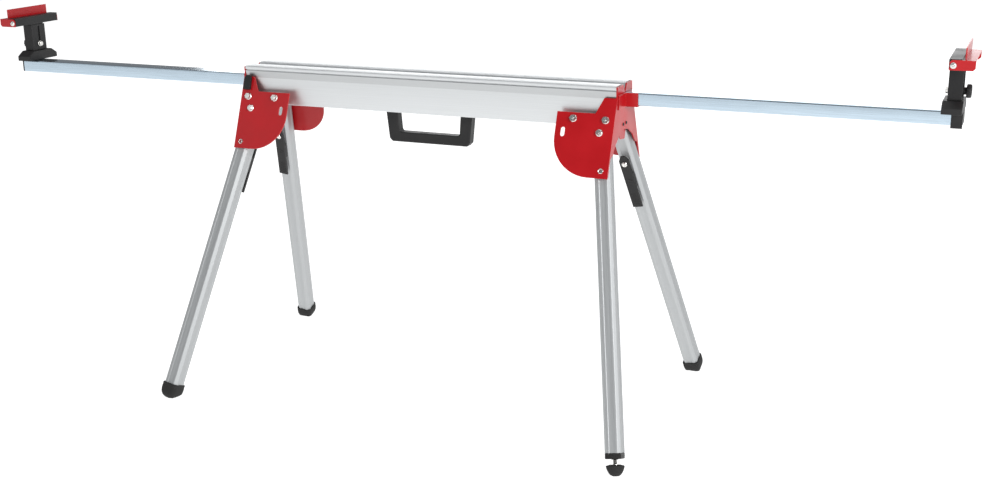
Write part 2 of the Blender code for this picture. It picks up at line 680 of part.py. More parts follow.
def cone_stack(centre, rings):
    """A turned shape along Z from (radius, height) pairs, closed by flat ends."""
    bm = bmesh.new()
    loops = []
    for radius, height in rings:
        loops.append([bm.verts.new((a, b, height)) for a, b in circle(centre, radius, FINE_SIDES)])
    bm.faces.new(loops[0])
    bm.faces.new(loops[-1])
    for upper, lower in zip(loops, loops[1:]):
        for i in range(FINE_SIDES):
            j = (i + 1) % FINE_SIDES
            bm.faces.new((upper[i], upper[j], lower[j], lower[i]))
    bmesh.ops.recalc_face_normals(bm, faces=bm.faces)
    return bm


# Leg locks

def make_lock_pin(name, side, row, surface):
    """The pin that locks a leg, drawn with its tip just behind the plate."""
    at = (0.0, -PIN_AT)
    under = LEVER_FACE + PIN_HEAD_PLAY
    shape = joined(
        rod("Y", at, PIN_RADIUS, PLATE + GAP, under + OVERLAP),
        rod("Y", at, PIN_HEAD_RADIUS, under, under + PIN_HEAD_HEIGHT),
    )
    put_on_corner(name, down_leg(shape), surface, side, row, tuple(leg_point(0.0, 0.0, -PIN_AT)))


def make_lock_lever(name, side, row, surface):
    """The rocking lever: a plate with a pointed top, two cheeks and a clearance hole for the pin."""
    half = LEVER_WIDTH / 2
    outline = [
        (-half, -LEVER_END), (half, -LEVER_END), (half, -LEVER_START - LEVER_POINT),
        (half - LEVER_POINT / 2 - OVERLAP, -LEVER_START),
        (-half + LEVER_POINT / 2 + OVERLAP, -LEVER_START), (-half, -LEVER_START - LEVER_POINT),
    ]
    shapes = [prism("Y", outline, LEVER_UNDER, LEVER_FACE)]
    cheek_low = LEVER_PIVOT_Y - LEVER_PIN_RADIUS - OVERLAP
    for way in (-1, 1):
        edges = sorted((way * (half - GAP), way * (half - LEVER_CHEEK)))
        shapes.append(box(
            (edges[0], cheek_low, -LEVER_PIVOT_AT - LEVER_CHEEK_LENGTH / 2),
            (edges[1], LEVER_UNDER + OVERLAP, -LEVER_PIVOT_AT + LEVER_CHEEK_LENGTH / 2),
        ))
    pin_way = rod("Y", (0.0, -PIN_AT), LEVER_HOLE_RADIUS, LEVER_UNDER - CUT, LEVER_FACE + CUT)
    axle = rod("X", (LEVER_PIVOT_Y, -LEVER_PIVOT_AT), LEVER_PIN_RADIUS + RUNNING, -half - CUT, half + CUT)
    origin = tuple(leg_point(0.0, LEVER_PIVOT_Y, -LEVER_PIVOT_AT))
    put_on_corner(name, down_leg(cut(joined(*shapes), pin_way, axle)), surface, side, row, origin)


def make_lever_hinge(name, side, row, surface):
    """The hinge riveted to the leg: a foot plate, a lug and the axle that the lever rocks on."""
    half = LEVER_WIDTH / 2
    foot = LEG_FACE + GAP
    lug_half = HINGE_LUG / 2
    lug_room = half - LEVER_CHEEK - GAP
    shape = joined(
        box((-lug_room, foot, -LEVER_PIVOT_AT - HINGE_LUG), (lug_room, foot + HINGE_PLATE,
                                                              -LEVER_PIVOT_AT + HINGE_LUG)),
        box((-lug_half, foot + HINGE_PLATE / 2, -LEVER_PIVOT_AT - lug_half / 2),
            (lug_half, LEVER_PIVOT_Y + LEVER_PIN_RADIUS, -LEVER_PIVOT_AT + lug_half / 2)),
        rod("X", (LEVER_PIVOT_Y, -LEVER_PIVOT_AT), LEVER_PIN_RADIUS, -half, half, 12),
    )
    put_on_corner(name, down_leg(shape), surface, side, row)


# Arms, guides and arm locks

def make_arm(name, side, surface):
    """An extension arm: a rectangular tube, open at both ends."""
    outer = box((ARM_INNER_END, ARM_NEAR, ARM_LOW), (ARM_REACH, ARM_FAR, ARM_TOP))
    bore = box((ARM_INNER_END - CUT, ARM_NEAR + ARM_WALL, ARM_LOW + ARM_WALL),
               (ARM_REACH + CUT, ARM_FAR - ARM_WALL, ARM_TOP - ARM_WALL))
    put(name, cut(outer, bore), surface, end_frame(side))


def make_arm_glide(name, side, surface):
    """The plug in the arm's inner end, which keeps the tube from rattling in the beam."""
    inset = ARM_WALL + GAP
    plug = box((ARM_INNER_END - OVERLAP - GAP, ARM_NEAR + inset, ARM_LOW + inset),
               (ARM_INNER_END + GLIDE_LENGTH, ARM_FAR - inset, ARM_TOP - inset))
    head = box((ARM_INNER_END - GAP - GLIDE_HEAD, ARM_NEAR, ARM_LOW),
               (ARM_INNER_END - GAP, ARM_FAR, ARM_TOP))
    put(name, joined(plug, head), surface, end_frame(side))


def make_arm_guide(name, side, surface):
    """The cradle that guides the arm outside the beam, with a cover plate over the other half."""
    reach = GUIDE_REACH[side]
    start = FLANGE_OUT + GAP
    near = ARM_NEAR - SLIDING
    far = ARM_FAR + SLIDING
    top = ARM_TOP - GUIDE_LIP
    cradle = cut(
        box((start, near - GUIDE_WALL, CAVITY_LOW - GUIDE_WALL),
            (start + reach, far + GUIDE_WALL, top)),
        box((start - CUT, near, CAVITY_LOW), (start + reach + CUT, far, top + CUT)),
    )
    cover = box((start, -BODY_HALF_DEPTH, CAVITY_LOW - GUIDE_WALL),
                (start + GUIDE_WALL, near - GUIDE_WALL + OVERLAP, top))
    put(name, joined(cradle, cover), surface, end_frame(side))


def make_arm_lock(name, side, row, surface):
    """The lever that turns a cam against the beam's side to hold the arm."""
    half = LOCK_WIDTH / 2
    top = LOCK_Z + half
    blade = prism("Y", [
        (LOCK_X - half, top - LOCK_LENGTH), (LOCK_X + half, top - LOCK_LENGTH),
        (LOCK_X + half, LOCK_Z), *arc((LOCK_X, LOCK_Z), half, 30.0, 150.0, 6), (LOCK_X - half, LOCK_Z),
    ], -GAP - LOCK_THICK, -GAP)
    stud = rod("Y", (LOCK_X, LOCK_Z), LOCK_STUD_RADIUS, -GAP - OVERLAP, PLATE + GAP + LOCK_FOOT_THICK)
    foot = rod("Y", (LOCK_X, LOCK_Z), LOCK_FOOT_RADIUS, PLATE + GAP, PLATE + GAP + LOCK_FOOT_THICK)
    put_on_corner(name, joined(blade, stud, foot), surface, side, row, (LOCK_X, 0.0, LOCK_Z))


# Supports

def make_support_base(name, side, surface):
    """The moulding on the arm's end: a saddle above the tube, a skirt on one side and a stopper."""
    low = SUPPORT_FLOOR
    saddle_half = [
        (BASE_HALF_WIDTH, low), (BASE_HALF_WIDTH, low + BASE_SHOULDER),
        (BASE_TOP_HALF_WIDTH, low + BASE_RISE),
    ]
    outline = [(SUPPORT_Y + a, b) for a, b in mirrored_outline(saddle_half)]
    start = ARM_REACH + GAP + CAP_END - BASE_LENGTH
    end = ARM_REACH + GAP + CAP_END
    saddle = prism("X", outline, start, end)
    near = ARM_NEAR - GAP
    skirt = box((ARM_REACH - CAP_OVER_ARM, near - CAP_SKIN, ARM_LOW - CAP_BELOW),
                (end, near, low + OVERLAP))
    stopper = box((ARM_REACH + GAP, near - OVERLAP, ARM_LOW), (end, ARM_FAR, low + OVERLAP))
    put(name, joined(saddle, skirt, stopper), surface, end_frame(side))


def make_upright(name, side, surface):
    """The fixed channel that the post slides in, with a slot for the clamp bolt."""
    low = UPRIGHT_LOW
    high = low + UPRIGHT_HEIGHT
    half = UPRIGHT_WIDTH / 2
    shell = box((UPRIGHT_IN, SUPPORT_Y - half, low), (UPRIGHT_IN + UPRIGHT_DEPTH, SUPPORT_Y + half, high))
    room = box((UPRIGHT_IN + SHEET, SUPPORT_Y - half + SHEET, low - CUT),
               (UPRIGHT_IN + UPRIGHT_DEPTH + CUT, SUPPORT_Y + half - SHEET, high + CUT))
    radius = CLAMP_RADIUS + RUNNING
    slot = [
        *arc((SUPPORT_Y, CLAMP_SLOT_HIGH - radius), radius, 0.0, 180.0, 8),
        *arc((SUPPORT_Y, CLAMP_SLOT_LOW + radius), radius, 180.0, 360.0, 8),
    ]
    slot_cutter = prism("X", slot, UPRIGHT_IN - CUT, UPRIGHT_IN + SHEET + CUT)
    put(name, cut(shell, room, slot_cutter), surface, end_frame(side))


def make_post(name, side, surface):
    """The sliding post: a square tube with the crossbar channel across its top."""
    out = POST_IN + POST_DEPTH
    tube_top = CROSSBAR_TOP - SHEET / 2
    tube = cut(
        box((POST_IN, SUPPORT_Y - POST_HALF, UPRIGHT_LOW + POST_FOOT), (out, SUPPORT_Y + POST_HALF, tube_top)),
        box((POST_IN + POST_WALL, SUPPORT_Y - POST_HALF + POST_WALL, UPRIGHT_LOW - CUT),
            (out - POST_WALL, SUPPORT_Y + POST_HALF - POST_WALL, CROSSBAR_TOP - 2 * SHEET)),
    )
    bar_in = SUPPORT_X - CROSSBAR_DEPTH / 2 - GAP
    bar_out = bar_in + CROSSBAR_DEPTH
    bar_low = CROSSBAR_TOP - CROSSBAR_HEIGHT
    bar = cut(
        box((bar_in, SUPPORT_Y - CROSSBAR_HALF, bar_low), (bar_out, SUPPORT_Y + CROSSBAR_HALF, CROSSBAR_TOP)),
        box((bar_in + SHEET / 2, SUPPORT_Y - CROSSBAR_HALF + SHEET, bar_low - CUT),
            (bar_out - SHEET / 2, SUPPORT_Y + CROSSBAR_HALF - SHEET, CROSSBAR_TOP - SHEET)),
    )
    pin_way = rod("Y", (STOP_PIN_X, STOP_PIN_Z), STOP_PIN_RADIUS + RUNNING,
                  SUPPORT_Y - CROSSBAR_HALF - CUT, SUPPORT_Y + CROSSBAR_HALF + CUT)
    bolt_way = rod("X", (SUPPORT_Y, CLAMP_Z), CLAMP_RADIUS + RUNNING, POST_IN - CUT, out + CUT)
    origin = (SUPPORT_X, SUPPORT_Y, UPRIGHT_LOW)
    put(name, cut(joined(tube, bar), pin_way, bolt_way), surface, end_frame(side), origin=origin)


def make_stop(name, side, surface):
    """The flip stop: an upright face, a ledge outboard of it and two arms down to the pivots."""
    ends = (SUPPORT_Y - STOP_HALF, SUPPORT_Y + STOP_HALF)
    arm_near = CROSSBAR_HALF + GAP
    ledge_ends = (SUPPORT_Y - arm_near - OVERLAP, SUPPORT_Y + arm_near + OVERLAP)
    face = box((STOP_FACE_X, ends[0], STOP_LEDGE - SHEET / 2), (STOP_FACE_X + SHEET, ends[1], STOP_TOP))
    ledge = box((STOP_FACE_X, ledge_ends[0], STOP_LEDGE - SHEET), (STOP_REACH_X, ledge_ends[1], STOP_LEDGE))
    shapes = [face, ledge]
    for way in (-1, 1):
        sides = sorted((SUPPORT_Y + way * arm_near, SUPPORT_Y + way * (arm_near + SHEET)))
        arm = prism("Y", [
            (STOP_ARM_IN, STOP_ARM_LOW), (STOP_REACH_X - CUT, STOP_ARM_LOW),
            (STOP_REACH_X, STOP_ARM_LOW + CUT), (STOP_REACH_X, STOP_LEDGE),
            (STOP_ARM_IN + CUT, STOP_LEDGE), (STOP_ARM_IN, STOP_LEDGE - CUT),
        ], *sides)
        shapes.append(arm)
    pin_way = rod("Y", (STOP_PIN_X, STOP_PIN_Z), STOP_PIN_RADIUS + RUNNING,
                  ledge_ends[0] - 2 * CUT, ledge_ends[1] + 2 * CUT)
    origin = (STOP_PIN_X, SUPPORT_Y, STOP_PIN_Z)
    put(name, cut(joined(*shapes), pin_way), surface, end_frame(side), origin=origin)


def make_stop_pin(name, side, surface):
    """The long bolt that the stop turns on, with a head at each end."""
    reach = CROSSBAR_HALF + GAP + SHEET + GAP
    at = (STOP_PIN_X, STOP_PIN_Z)
    shape = joined(
        rod("Y", at, STOP_PIN_RADIUS, SUPPORT_Y - reach - OVERLAP, SUPPORT_Y + reach + OVERLAP),
        rod("Y", at, STOP_PIN_HEAD_RADIUS, SUPPORT_Y - reach - STOP_PIN_HEAD, SUPPORT_Y - reach),
        rod("Y", at, STOP_PIN_HEAD_RADIUS, SUPPORT_Y + reach, SUPPORT_Y + reach + STOP_PIN_HEAD),
    )
    put(name, shape, surface, end_frame(side))


def make_clamp_bolt(name, side, surface):
    """The bolt that passes through upright and post and carries the knob."""
    at = (SUPPORT_Y, CLAMP_Z)
    head = UPRIGHT_IN - GAP
    tip = POST_IN + POST_DEPTH + KNOB_HUB + KNOB_THICK - KNOB_CAP - GAP
    shape = joined(
        rod("X", at, CLAMP_RADIUS, head - OVERLAP, tip),
        rod("X", at, CLAMP_HEAD_RADIUS, head - CLAMP_HEAD, head),
    )
    put(name, shape, surface, end_frame(side))


def make_knob(name, side, surface):
    """The clamp knob: a hub against the post and a round grip."""
    at = (SUPPORT_Y, CLAMP_Z)
    start = POST_IN + POST_DEPTH + GAP
    grip = start + KNOB_HUB
    shape = cut(
        joined(rod("X", at, KNOB_HUB_RADIUS, start, grip + OVERLAP),
               rod("X", at, KNOB_RADIUS, grip, grip + KNOB_THICK, FINE_SIDES)),
        rod("X", at, CLAMP_RADIUS + RUNNING, start - CUT, grip + KNOB_THICK - KNOB_CAP),
    )
    put(name, shape, surface, end_frame(side), origin=(start, SUPPORT_Y, CLAMP_Z))


# The whole stand

def make_surfaces():
    """The materials by name."""
    return {
        "aluminium": material("satin_aluminium", (0.75, 0.76, 0.77), 0.35, 1.0),
        "zinc": material("zinc_plated_steel", (0.62, 0.68, 0.74), 0.30, 1.0),
        "bright": material("bright_zinc", (0.78, 0.78, 0.76), 0.28, 1.0),
        "red": material("red_powder_coat", (0.55, 0.012, 0.02), 0.35, 0.0),
        "black_steel": material("black_painted_steel", (0.025, 0.024, 0.026), 0.45, 0.0),
        "black_plastic": material("black_plastic", (0.03, 0.03, 0.032), 0.5, 0.0),
        "rubber": material("black_rubber", (0.02, 0.02, 0.02), 0.8, 0.0),
    }


def make_corner(tag, side, row, surfaces):
    """Everything that belongs to one leg."""
    adjustable = side > 0 and row < 0
    make_bracket(f"leg_bracket_{tag}", side, row, surfaces["red"])
    make_bracket_mount(f"bracket_mount_{tag}", side, row, surfaces["bright"])
    make_leg_bolt(f"leg_pivot_bolt_{tag}", side, row, surfaces["bright"])
    length = LEG_LENGTH - LEG_SHORTER if adjustable else LEG_LENGTH
    make_leg(f"leg_{tag}", side, row, length, surfaces["aluminium"])
    make_lock_pin(f"leg_lock_pin_{tag}", side, row, surfaces["bright"])
    make_lock_lever(f"leg_lock_lever_{tag}", side, row, surfaces["black_plastic"])
    make_lever_hinge(f"lever_hinge_{tag}", side, row, surfaces["black_steel"])
    if adjustable:
        make_levelling_foot(side, row, surfaces["black_plastic"], surfaces["bright"], surfaces["rubber"])
    else:
        make_foot_cap(f"foot_cap_{tag}", side, row, surfaces["rubber"])


def make_end(tag, side, surfaces):
    """Everything that belongs to one extension arm."""
    make_arm(f"extension_arm_{tag}", side, surfaces["zinc"])
    make_arm_glide(f"arm_glide_{tag}", side, surfaces["black_plastic"])
    make_arm_guide(f"arm_guide_{tag}", side, surfaces["red"])
    make_arm_lock(f"arm_lock_lever_{tag}", side, side, surfaces["black_plastic"])
    make_support_base(f"support_base_{tag}", side, surfaces["black_plastic"])
    make_upright(f"support_upright_{tag}", side, surfaces["black_steel"])
    make_post(f"support_post_{tag}", side, surfaces["black_steel"])
    make_stop(f"flip_stop_{tag}", side, surfaces["red"])
    make_stop_pin(f"stop_pivot_bolt_{tag}", side, surfaces["bright"])
    make_clamp_bolt(f"height_clamp_bolt_{tag}", side, surfaces["bright"])
    make_knob(f"height_knob_{tag}", side, surfaces["black_plastic"])


def main():
    """Build the stand in an empty scene."""
    for item in list(bpy.data.objects):
        bpy.data.objects.remove(item, do_unlink=True)
    surfaces = make_surfaces()
    make_beam(surfaces["aluminium"])
    make_handle(surfaces["black_plastic"])
    for row_name, row in ROWS.items():
        for side_name, side in SIDES.items():
            make_corner(f"{row_name}_{side_name}", side, row, surfaces)
    for side_name, side in SIDES.items():
        make_end(side_name, side, surfaces)


main()
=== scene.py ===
"""Looks of a folding work stand: a grooved beam on splayed legs, with pull-out arms and work supports.

Everything is in metres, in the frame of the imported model: +X along the beam, -Y to the front, +Z up.
"""
import json
import logging
import math
from dataclasses import dataclass
from enum import Enum

import bmesh
import bpy
import numpy as np
from mathutils import Matrix, Vector, geometry


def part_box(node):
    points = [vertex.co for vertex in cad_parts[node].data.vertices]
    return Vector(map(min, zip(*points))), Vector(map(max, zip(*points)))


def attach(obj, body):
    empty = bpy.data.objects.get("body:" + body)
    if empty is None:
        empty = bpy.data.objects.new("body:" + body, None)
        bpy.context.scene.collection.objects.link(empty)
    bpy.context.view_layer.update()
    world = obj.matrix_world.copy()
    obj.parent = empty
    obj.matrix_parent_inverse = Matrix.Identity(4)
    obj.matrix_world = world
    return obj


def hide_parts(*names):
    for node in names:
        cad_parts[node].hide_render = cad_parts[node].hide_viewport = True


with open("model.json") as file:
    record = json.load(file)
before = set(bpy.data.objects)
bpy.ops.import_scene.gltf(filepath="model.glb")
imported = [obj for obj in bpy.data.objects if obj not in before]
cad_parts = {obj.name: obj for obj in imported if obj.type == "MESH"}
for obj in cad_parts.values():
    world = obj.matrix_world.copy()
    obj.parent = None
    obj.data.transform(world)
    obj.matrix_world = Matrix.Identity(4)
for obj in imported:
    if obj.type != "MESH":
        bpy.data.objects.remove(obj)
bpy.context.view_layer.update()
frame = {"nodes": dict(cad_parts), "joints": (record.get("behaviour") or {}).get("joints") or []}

MM = 0.001
LOG = logging.getLogger("stand")
JOINTS = {joint["name"]: joint for joint in frame["joints"]}
GRAIN = "grain"
SHARP = math.radians(32.0)


class Side(Enum):
    """The two ends of the beam, as the sign of X."""

    LEFT = -1
    RIGHT = 1


class Row(Enum):
    """The two long sides of the beam, as the sign of Y."""

    FRONT = -1
    REAR = 1


# Surfaces


@dataclass
class Surface:
    """A mesh in the making: its points, its faces and the pattern coordinates of the points."""

    points: np.ndarray
    faces: list[list[int]]
    grain: np.ndarray

    def placed(self, matrix: Matrix) -> "Surface":
        """Carry the points through a matrix and leave the pattern. A mirroring one turns the faces."""
        place = np.array(matrix)
        mirrored = np.linalg.det(place[:3, :3]) < 0
        faces = [face[::-1] for face in self.faces] if mirrored else self.faces
        return Surface(self.points @ place[:3, :3].T + place[:3, 3], faces, self.grain)

    def __add__(self, other: "Surface") -> "Surface":
        """Put two surfaces into one mesh without joining them."""
        shift = len(self.points)
        faces = self.faces + [[i + shift for i in face] for face in other.faces]
        points = np.concatenate([self.points, other.points])
        return Surface(points, faces, np.concatenate([self.grain, other.grain]))


def gathered(surfaces: list[Surface]) -> Surface:
    """Put a list of surfaces into one mesh."""
    total = surfaces[0]
    for surface in surfaces[1:]:
        total = total + surface
    return total


def wrapped(rings: np.ndarray, ends: bool = True) -> Surface:
    """Join rings of points by quads: quad (i, j) spans rings i and i + 1 and points j and j + 1.

    Args:
        rings: An array of shape (rings, points, 3). Each ring runs anticlockwise about its way on.
        ends: Close the first and last ring with flat faces. Otherwise the last ring joins the first.

    Returns:
        A closed surface whose faces point outwards.
    """
    count, around, _ = rings.shape
    index = np.arange(count * around).reshape(count, around)
    onward = np.roll(index, -1, axis=1)
    upper = np.roll(index, -1, axis=0)
    upper_onward = np.roll(onward, -1, axis=0)
    quads = np.stack([index, onward, upper_onward, upper], axis=-1)
    quads = quads[:-1] if ends else quads
    faces = quads.reshape(-1, 4).tolist()
    if ends:
        faces += [index[0, ::-1].tolist(), index[-1].tolist()]
    points = rings.reshape(-1, 3).astype(float)
    return Surface(points, faces, points.copy())


def softened(outline: list[tuple[float, float]] | np.ndarray, radius: float, steps: int = 3) -> np.ndarray:
    """Round the corners of a closed outline.

    A corner P between A and B, each a radius away along its side, becomes the curve
    (1 - t)^2 A + 2 t (1 - t) P + t^2 B for t from 0 to 1.

    Args:
        outline: The corners, in order.
        radius: How far from the corner the curve starts, at most nearly half of a side.
        steps: The number of pieces in each curve.

    Returns:
        The points of the rounded outline.
    """
    corner = np.asarray(outline, float)
    back = np.roll(corner, 1, axis=0) - corner
    onward = np.roll(corner, -1, axis=0) - corner
    back_length = np.linalg.norm(back, axis=1, keepdims=True)
    onward_length = np.linalg.norm(onward, axis=1, keepdims=True)
    reach = np.minimum(radius, 0.48 * np.minimum(back_length, onward_length))
    first = (corner + back / back_length * reach)[:, None]
    last = (corner + onward / onward_length * reach)[:, None]
    t = np.linspace(0.0, 1.0, steps + 1)[None, :, None]
    curve = (1 - t) ** 2 * first + 2 * t * (1 - t) * corner[:, None] + t**2 * last
    return curve.reshape(-1, 2)


def mirrored(side: list[tuple[float, float]]) -> list[tuple[float, float]]:
    """An outline's other half, with the first coordinate turned over and the order kept onward."""
    return [(-y, z) for y, z in reversed(side)]


def divided(outline: np.ndarray, pieces: int) -> np.ndarray:
    """Cut every side of a closed outline into equal pieces: A + (B - A) k / pieces."""
    share = np.arange(pieces)[None, :, None] / pieces
    onward = np.roll(outline, -1, axis=0)
    return (outline[:, None] * (1 - share) + onward[:, None] * share).reshape(-1, 2)


def rectangle(width: float, height: float, centre: tuple[float, float] = (0.0, 0.0)) -> np.ndarray:
    """The four corners of a rectangle, anticlockwise."""
    signs = np.array([(-1, -1), (1, -1), (1, 1), (-1, 1)], float)
    return signs * (width / 2, height / 2) + centre


def angles(sides: int) -> np.ndarray:
    """Evenly spaced angles round a circle."""
    return np.arange(sides) * 2 * np.pi / sides


def spun(radius: np.ndarray, height: np.ndarray, ends: bool = True) -> Surface:
    """Join rings round Z: point (k, a) is (r cos a, r sin a, z_k), with r the radius of ring k at a.

    Args:
        radius: An array of shape (rings, points).
        height: The height z_k of each ring.
        ends: Close the first and last ring with flat faces.

    Returns:
        A closed surface.
    """
    angle = angles(radius.shape[1])
    level = np.broadcast_to(height[:, None], radius.shape)
    return wrapped(np.stack([radius * np.cos(angle), radius * np.sin(angle), level], axis=-1), ends)


def mm(*pairs: tuple[float, float]) -> list[tuple[float, float]]:
    """Pairs of millimetres as pairs of metres."""
    return [(first * MM, second * MM) for first, second in pairs]


def turned(profile: list[tuple[float, float]], sides: int = 40, ends: bool = True) -> Surface:
    """Turn a profile of (radius, height) pairs, listed from the bottom up, round Z."""
    radius, height = np.array(profile, float).T
    return spun(np.repeat(radius[:, None], sides, axis=1), height, ends)


def stacked(section: np.ndarray, steps: list[tuple[float, float]]) -> Surface:
    """Stack copies of a section along Z, from the bottom up, each scaled by its (share, height)."""
    rings = [np.column_stack([section * share, np.full(len(section), level)]) for share, level in steps]
    return wrapped(np.stack(rings))


def flat_sided(across: float, corners: int, sides: int) -> np.ndarray:
    """A polygon's radius, (across / 2) / cos a, with a the angle from the nearest flat's middle."""
    sector = 2 * np.pi / corners
    return across / 2 / np.cos((angles(sides) + sector / 2) % sector - sector / 2)


def hexagonal(across: float, low: float, high: float, chamfer: float) -> Surface:
    """A nut or a bolt head along Z: the smaller of a flat-sided radius and a cone at the top.

    Args:
        across: The size across the flats.
        low: The height of the underside.
        high: The height of the top.
        chamfer: The height over which the corners are cut away.

    Returns:
        A closed surface.
    """
    corners = 6
    half = across / 2
    widest = half / math.cos(math.pi / corners)
    cone = np.array([widest, widest, half * 1.05, half * 0.92])
    levels = np.array([low, high - chamfer, high - chamfer * 0.45, high])
    return spun(np.minimum(flat_sided(across, corners, 8 * corners), cone[:, None]), levels)


def threaded(radius: float, low: float, high: float, pitch: float, depth: float) -> Surface:
    """A screw thread: the radius is r - depth |2 f - 1|, with f the fraction of (z / pitch - a / 2 pi).

    Args:
        radius: The crest's radius.
        low: The lower end.
        high: The upper end.
        pitch: The rise in one turn.
        depth: The depth from crest to root.

    Returns:
        A closed surface along Z.
    """
    height = np.linspace(low, high, max(4, int((high - low) / pitch * 6)))
    turn = (height[:, None] / pitch - angles(24) / (2 * np.pi)) % 1.0
    return spun(radius - depth * np.abs(2 * turn - 1), height)


def tube(outer: np.ndarray, inner: np.ndarray, low: np.ndarray, high: np.ndarray) -> Surface:
    """A wall along Z between two outlines of as many points, from the low to the high of each point."""
    corners = ((outer, low), (outer, high), (inner, high), (inner, low))
    return wrapped(np.stack([np.column_stack(corner) for corner in corners]), ends=False)


def extrusion(outer: np.ndarray, rooms: list[np.ndarray], low: float, high: float) -> Surface:
    """Carry a section with hollow rooms along Z, and close its ends with triangles.

    Args:
        outer: The outer outline, anticlockwise, in (x, y).
        rooms: The outlines of the hollow rooms, anticlockwise.
        low: Where the section starts.
        high: Where it ends.

    Returns:
        A closed surface, open through its rooms.
    """
    loops = [outer, *[room[::-1] for room in rooms]]
    flat = np.concatenate(loops)
    total = len(flat)
    faces: list[list[int]] = []
    start = 0
    for loop in loops:
        near = np.arange(start, start + len(loop))
        onward = np.roll(near, -1)
        faces += np.stack([near, onward, onward + total, near + total], axis=1).tolist()
        start += len(loop)
    triangles = np.array(geometry.tessellate_polygon([[Vector((*p, 0.0)) for p in loop] for loop in loops]))
    corner = flat[triangles]
    one, two = corner[:, 1] - corner[:, 0], corner[:, 2] - corner[:, 0]
    clockwise = one[:, 0] * two[:, 1] - one[:, 1] * two[:, 0] < 0
    triangles[clockwise] = triangles[clockwise, ::-1]
    faces += triangles[:, ::-1].tolist() + (triangles + total).tolist()
    ends = [np.column_stack([flat, np.full(total, level)]) for level in (low, high)]
    points = np.concatenate(ends)
    return Surface(points, faces, points.copy())


def block(outline: np.ndarray, low: float, high: float, edge: float = 0.0) -> Surface:
    """A solid of one outline along Z, drawn in by an edge's width at both ends."""
    centre = outline.mean(axis=0)
    size = np.ptp(outline, axis=0).min()
    drawn = centre + (outline - centre) * (1 - 2 * edge / size)
    levels = [(drawn, low), (outline, low + edge), (outline, high - edge), (drawn, high)]
    rings = [np.column_stack([ring, np.full(len(ring), level)]) for ring, level in levels]
    return wrapped(np.stack(rings))


def of_node(node: str, basis: Matrix) -> Surface:
    """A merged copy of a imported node, with the pattern running along the basis.

    Args:
        node: The node's name.
        basis: The frame in which the pattern's coordinates are read.

    Returns:
        The node's surface in place.
    """
    work = bmesh.new()
    work.from_mesh(frame["nodes"][node].data)
    bmesh.ops.remove_doubles(work, verts=work.verts, dist=0.01 * MM)
    bmesh.ops.dissolve_limit(work, angle_limit=math.radians(0.5), verts=work.verts, edges=work.edges)
    bmesh.ops.recalc_face_normals(work, faces=work.faces)
    work.verts.index_update()
    points = np.array([vert.co for vert in work.verts], float)
    faces = [[vert.index for vert in face.verts] for face in work.faces]
    work.free()
    back = np.array(basis.inverted())
    return Surface(points, faces, points @ back[:3, :3].T + back[:3, 3])


# Finishes


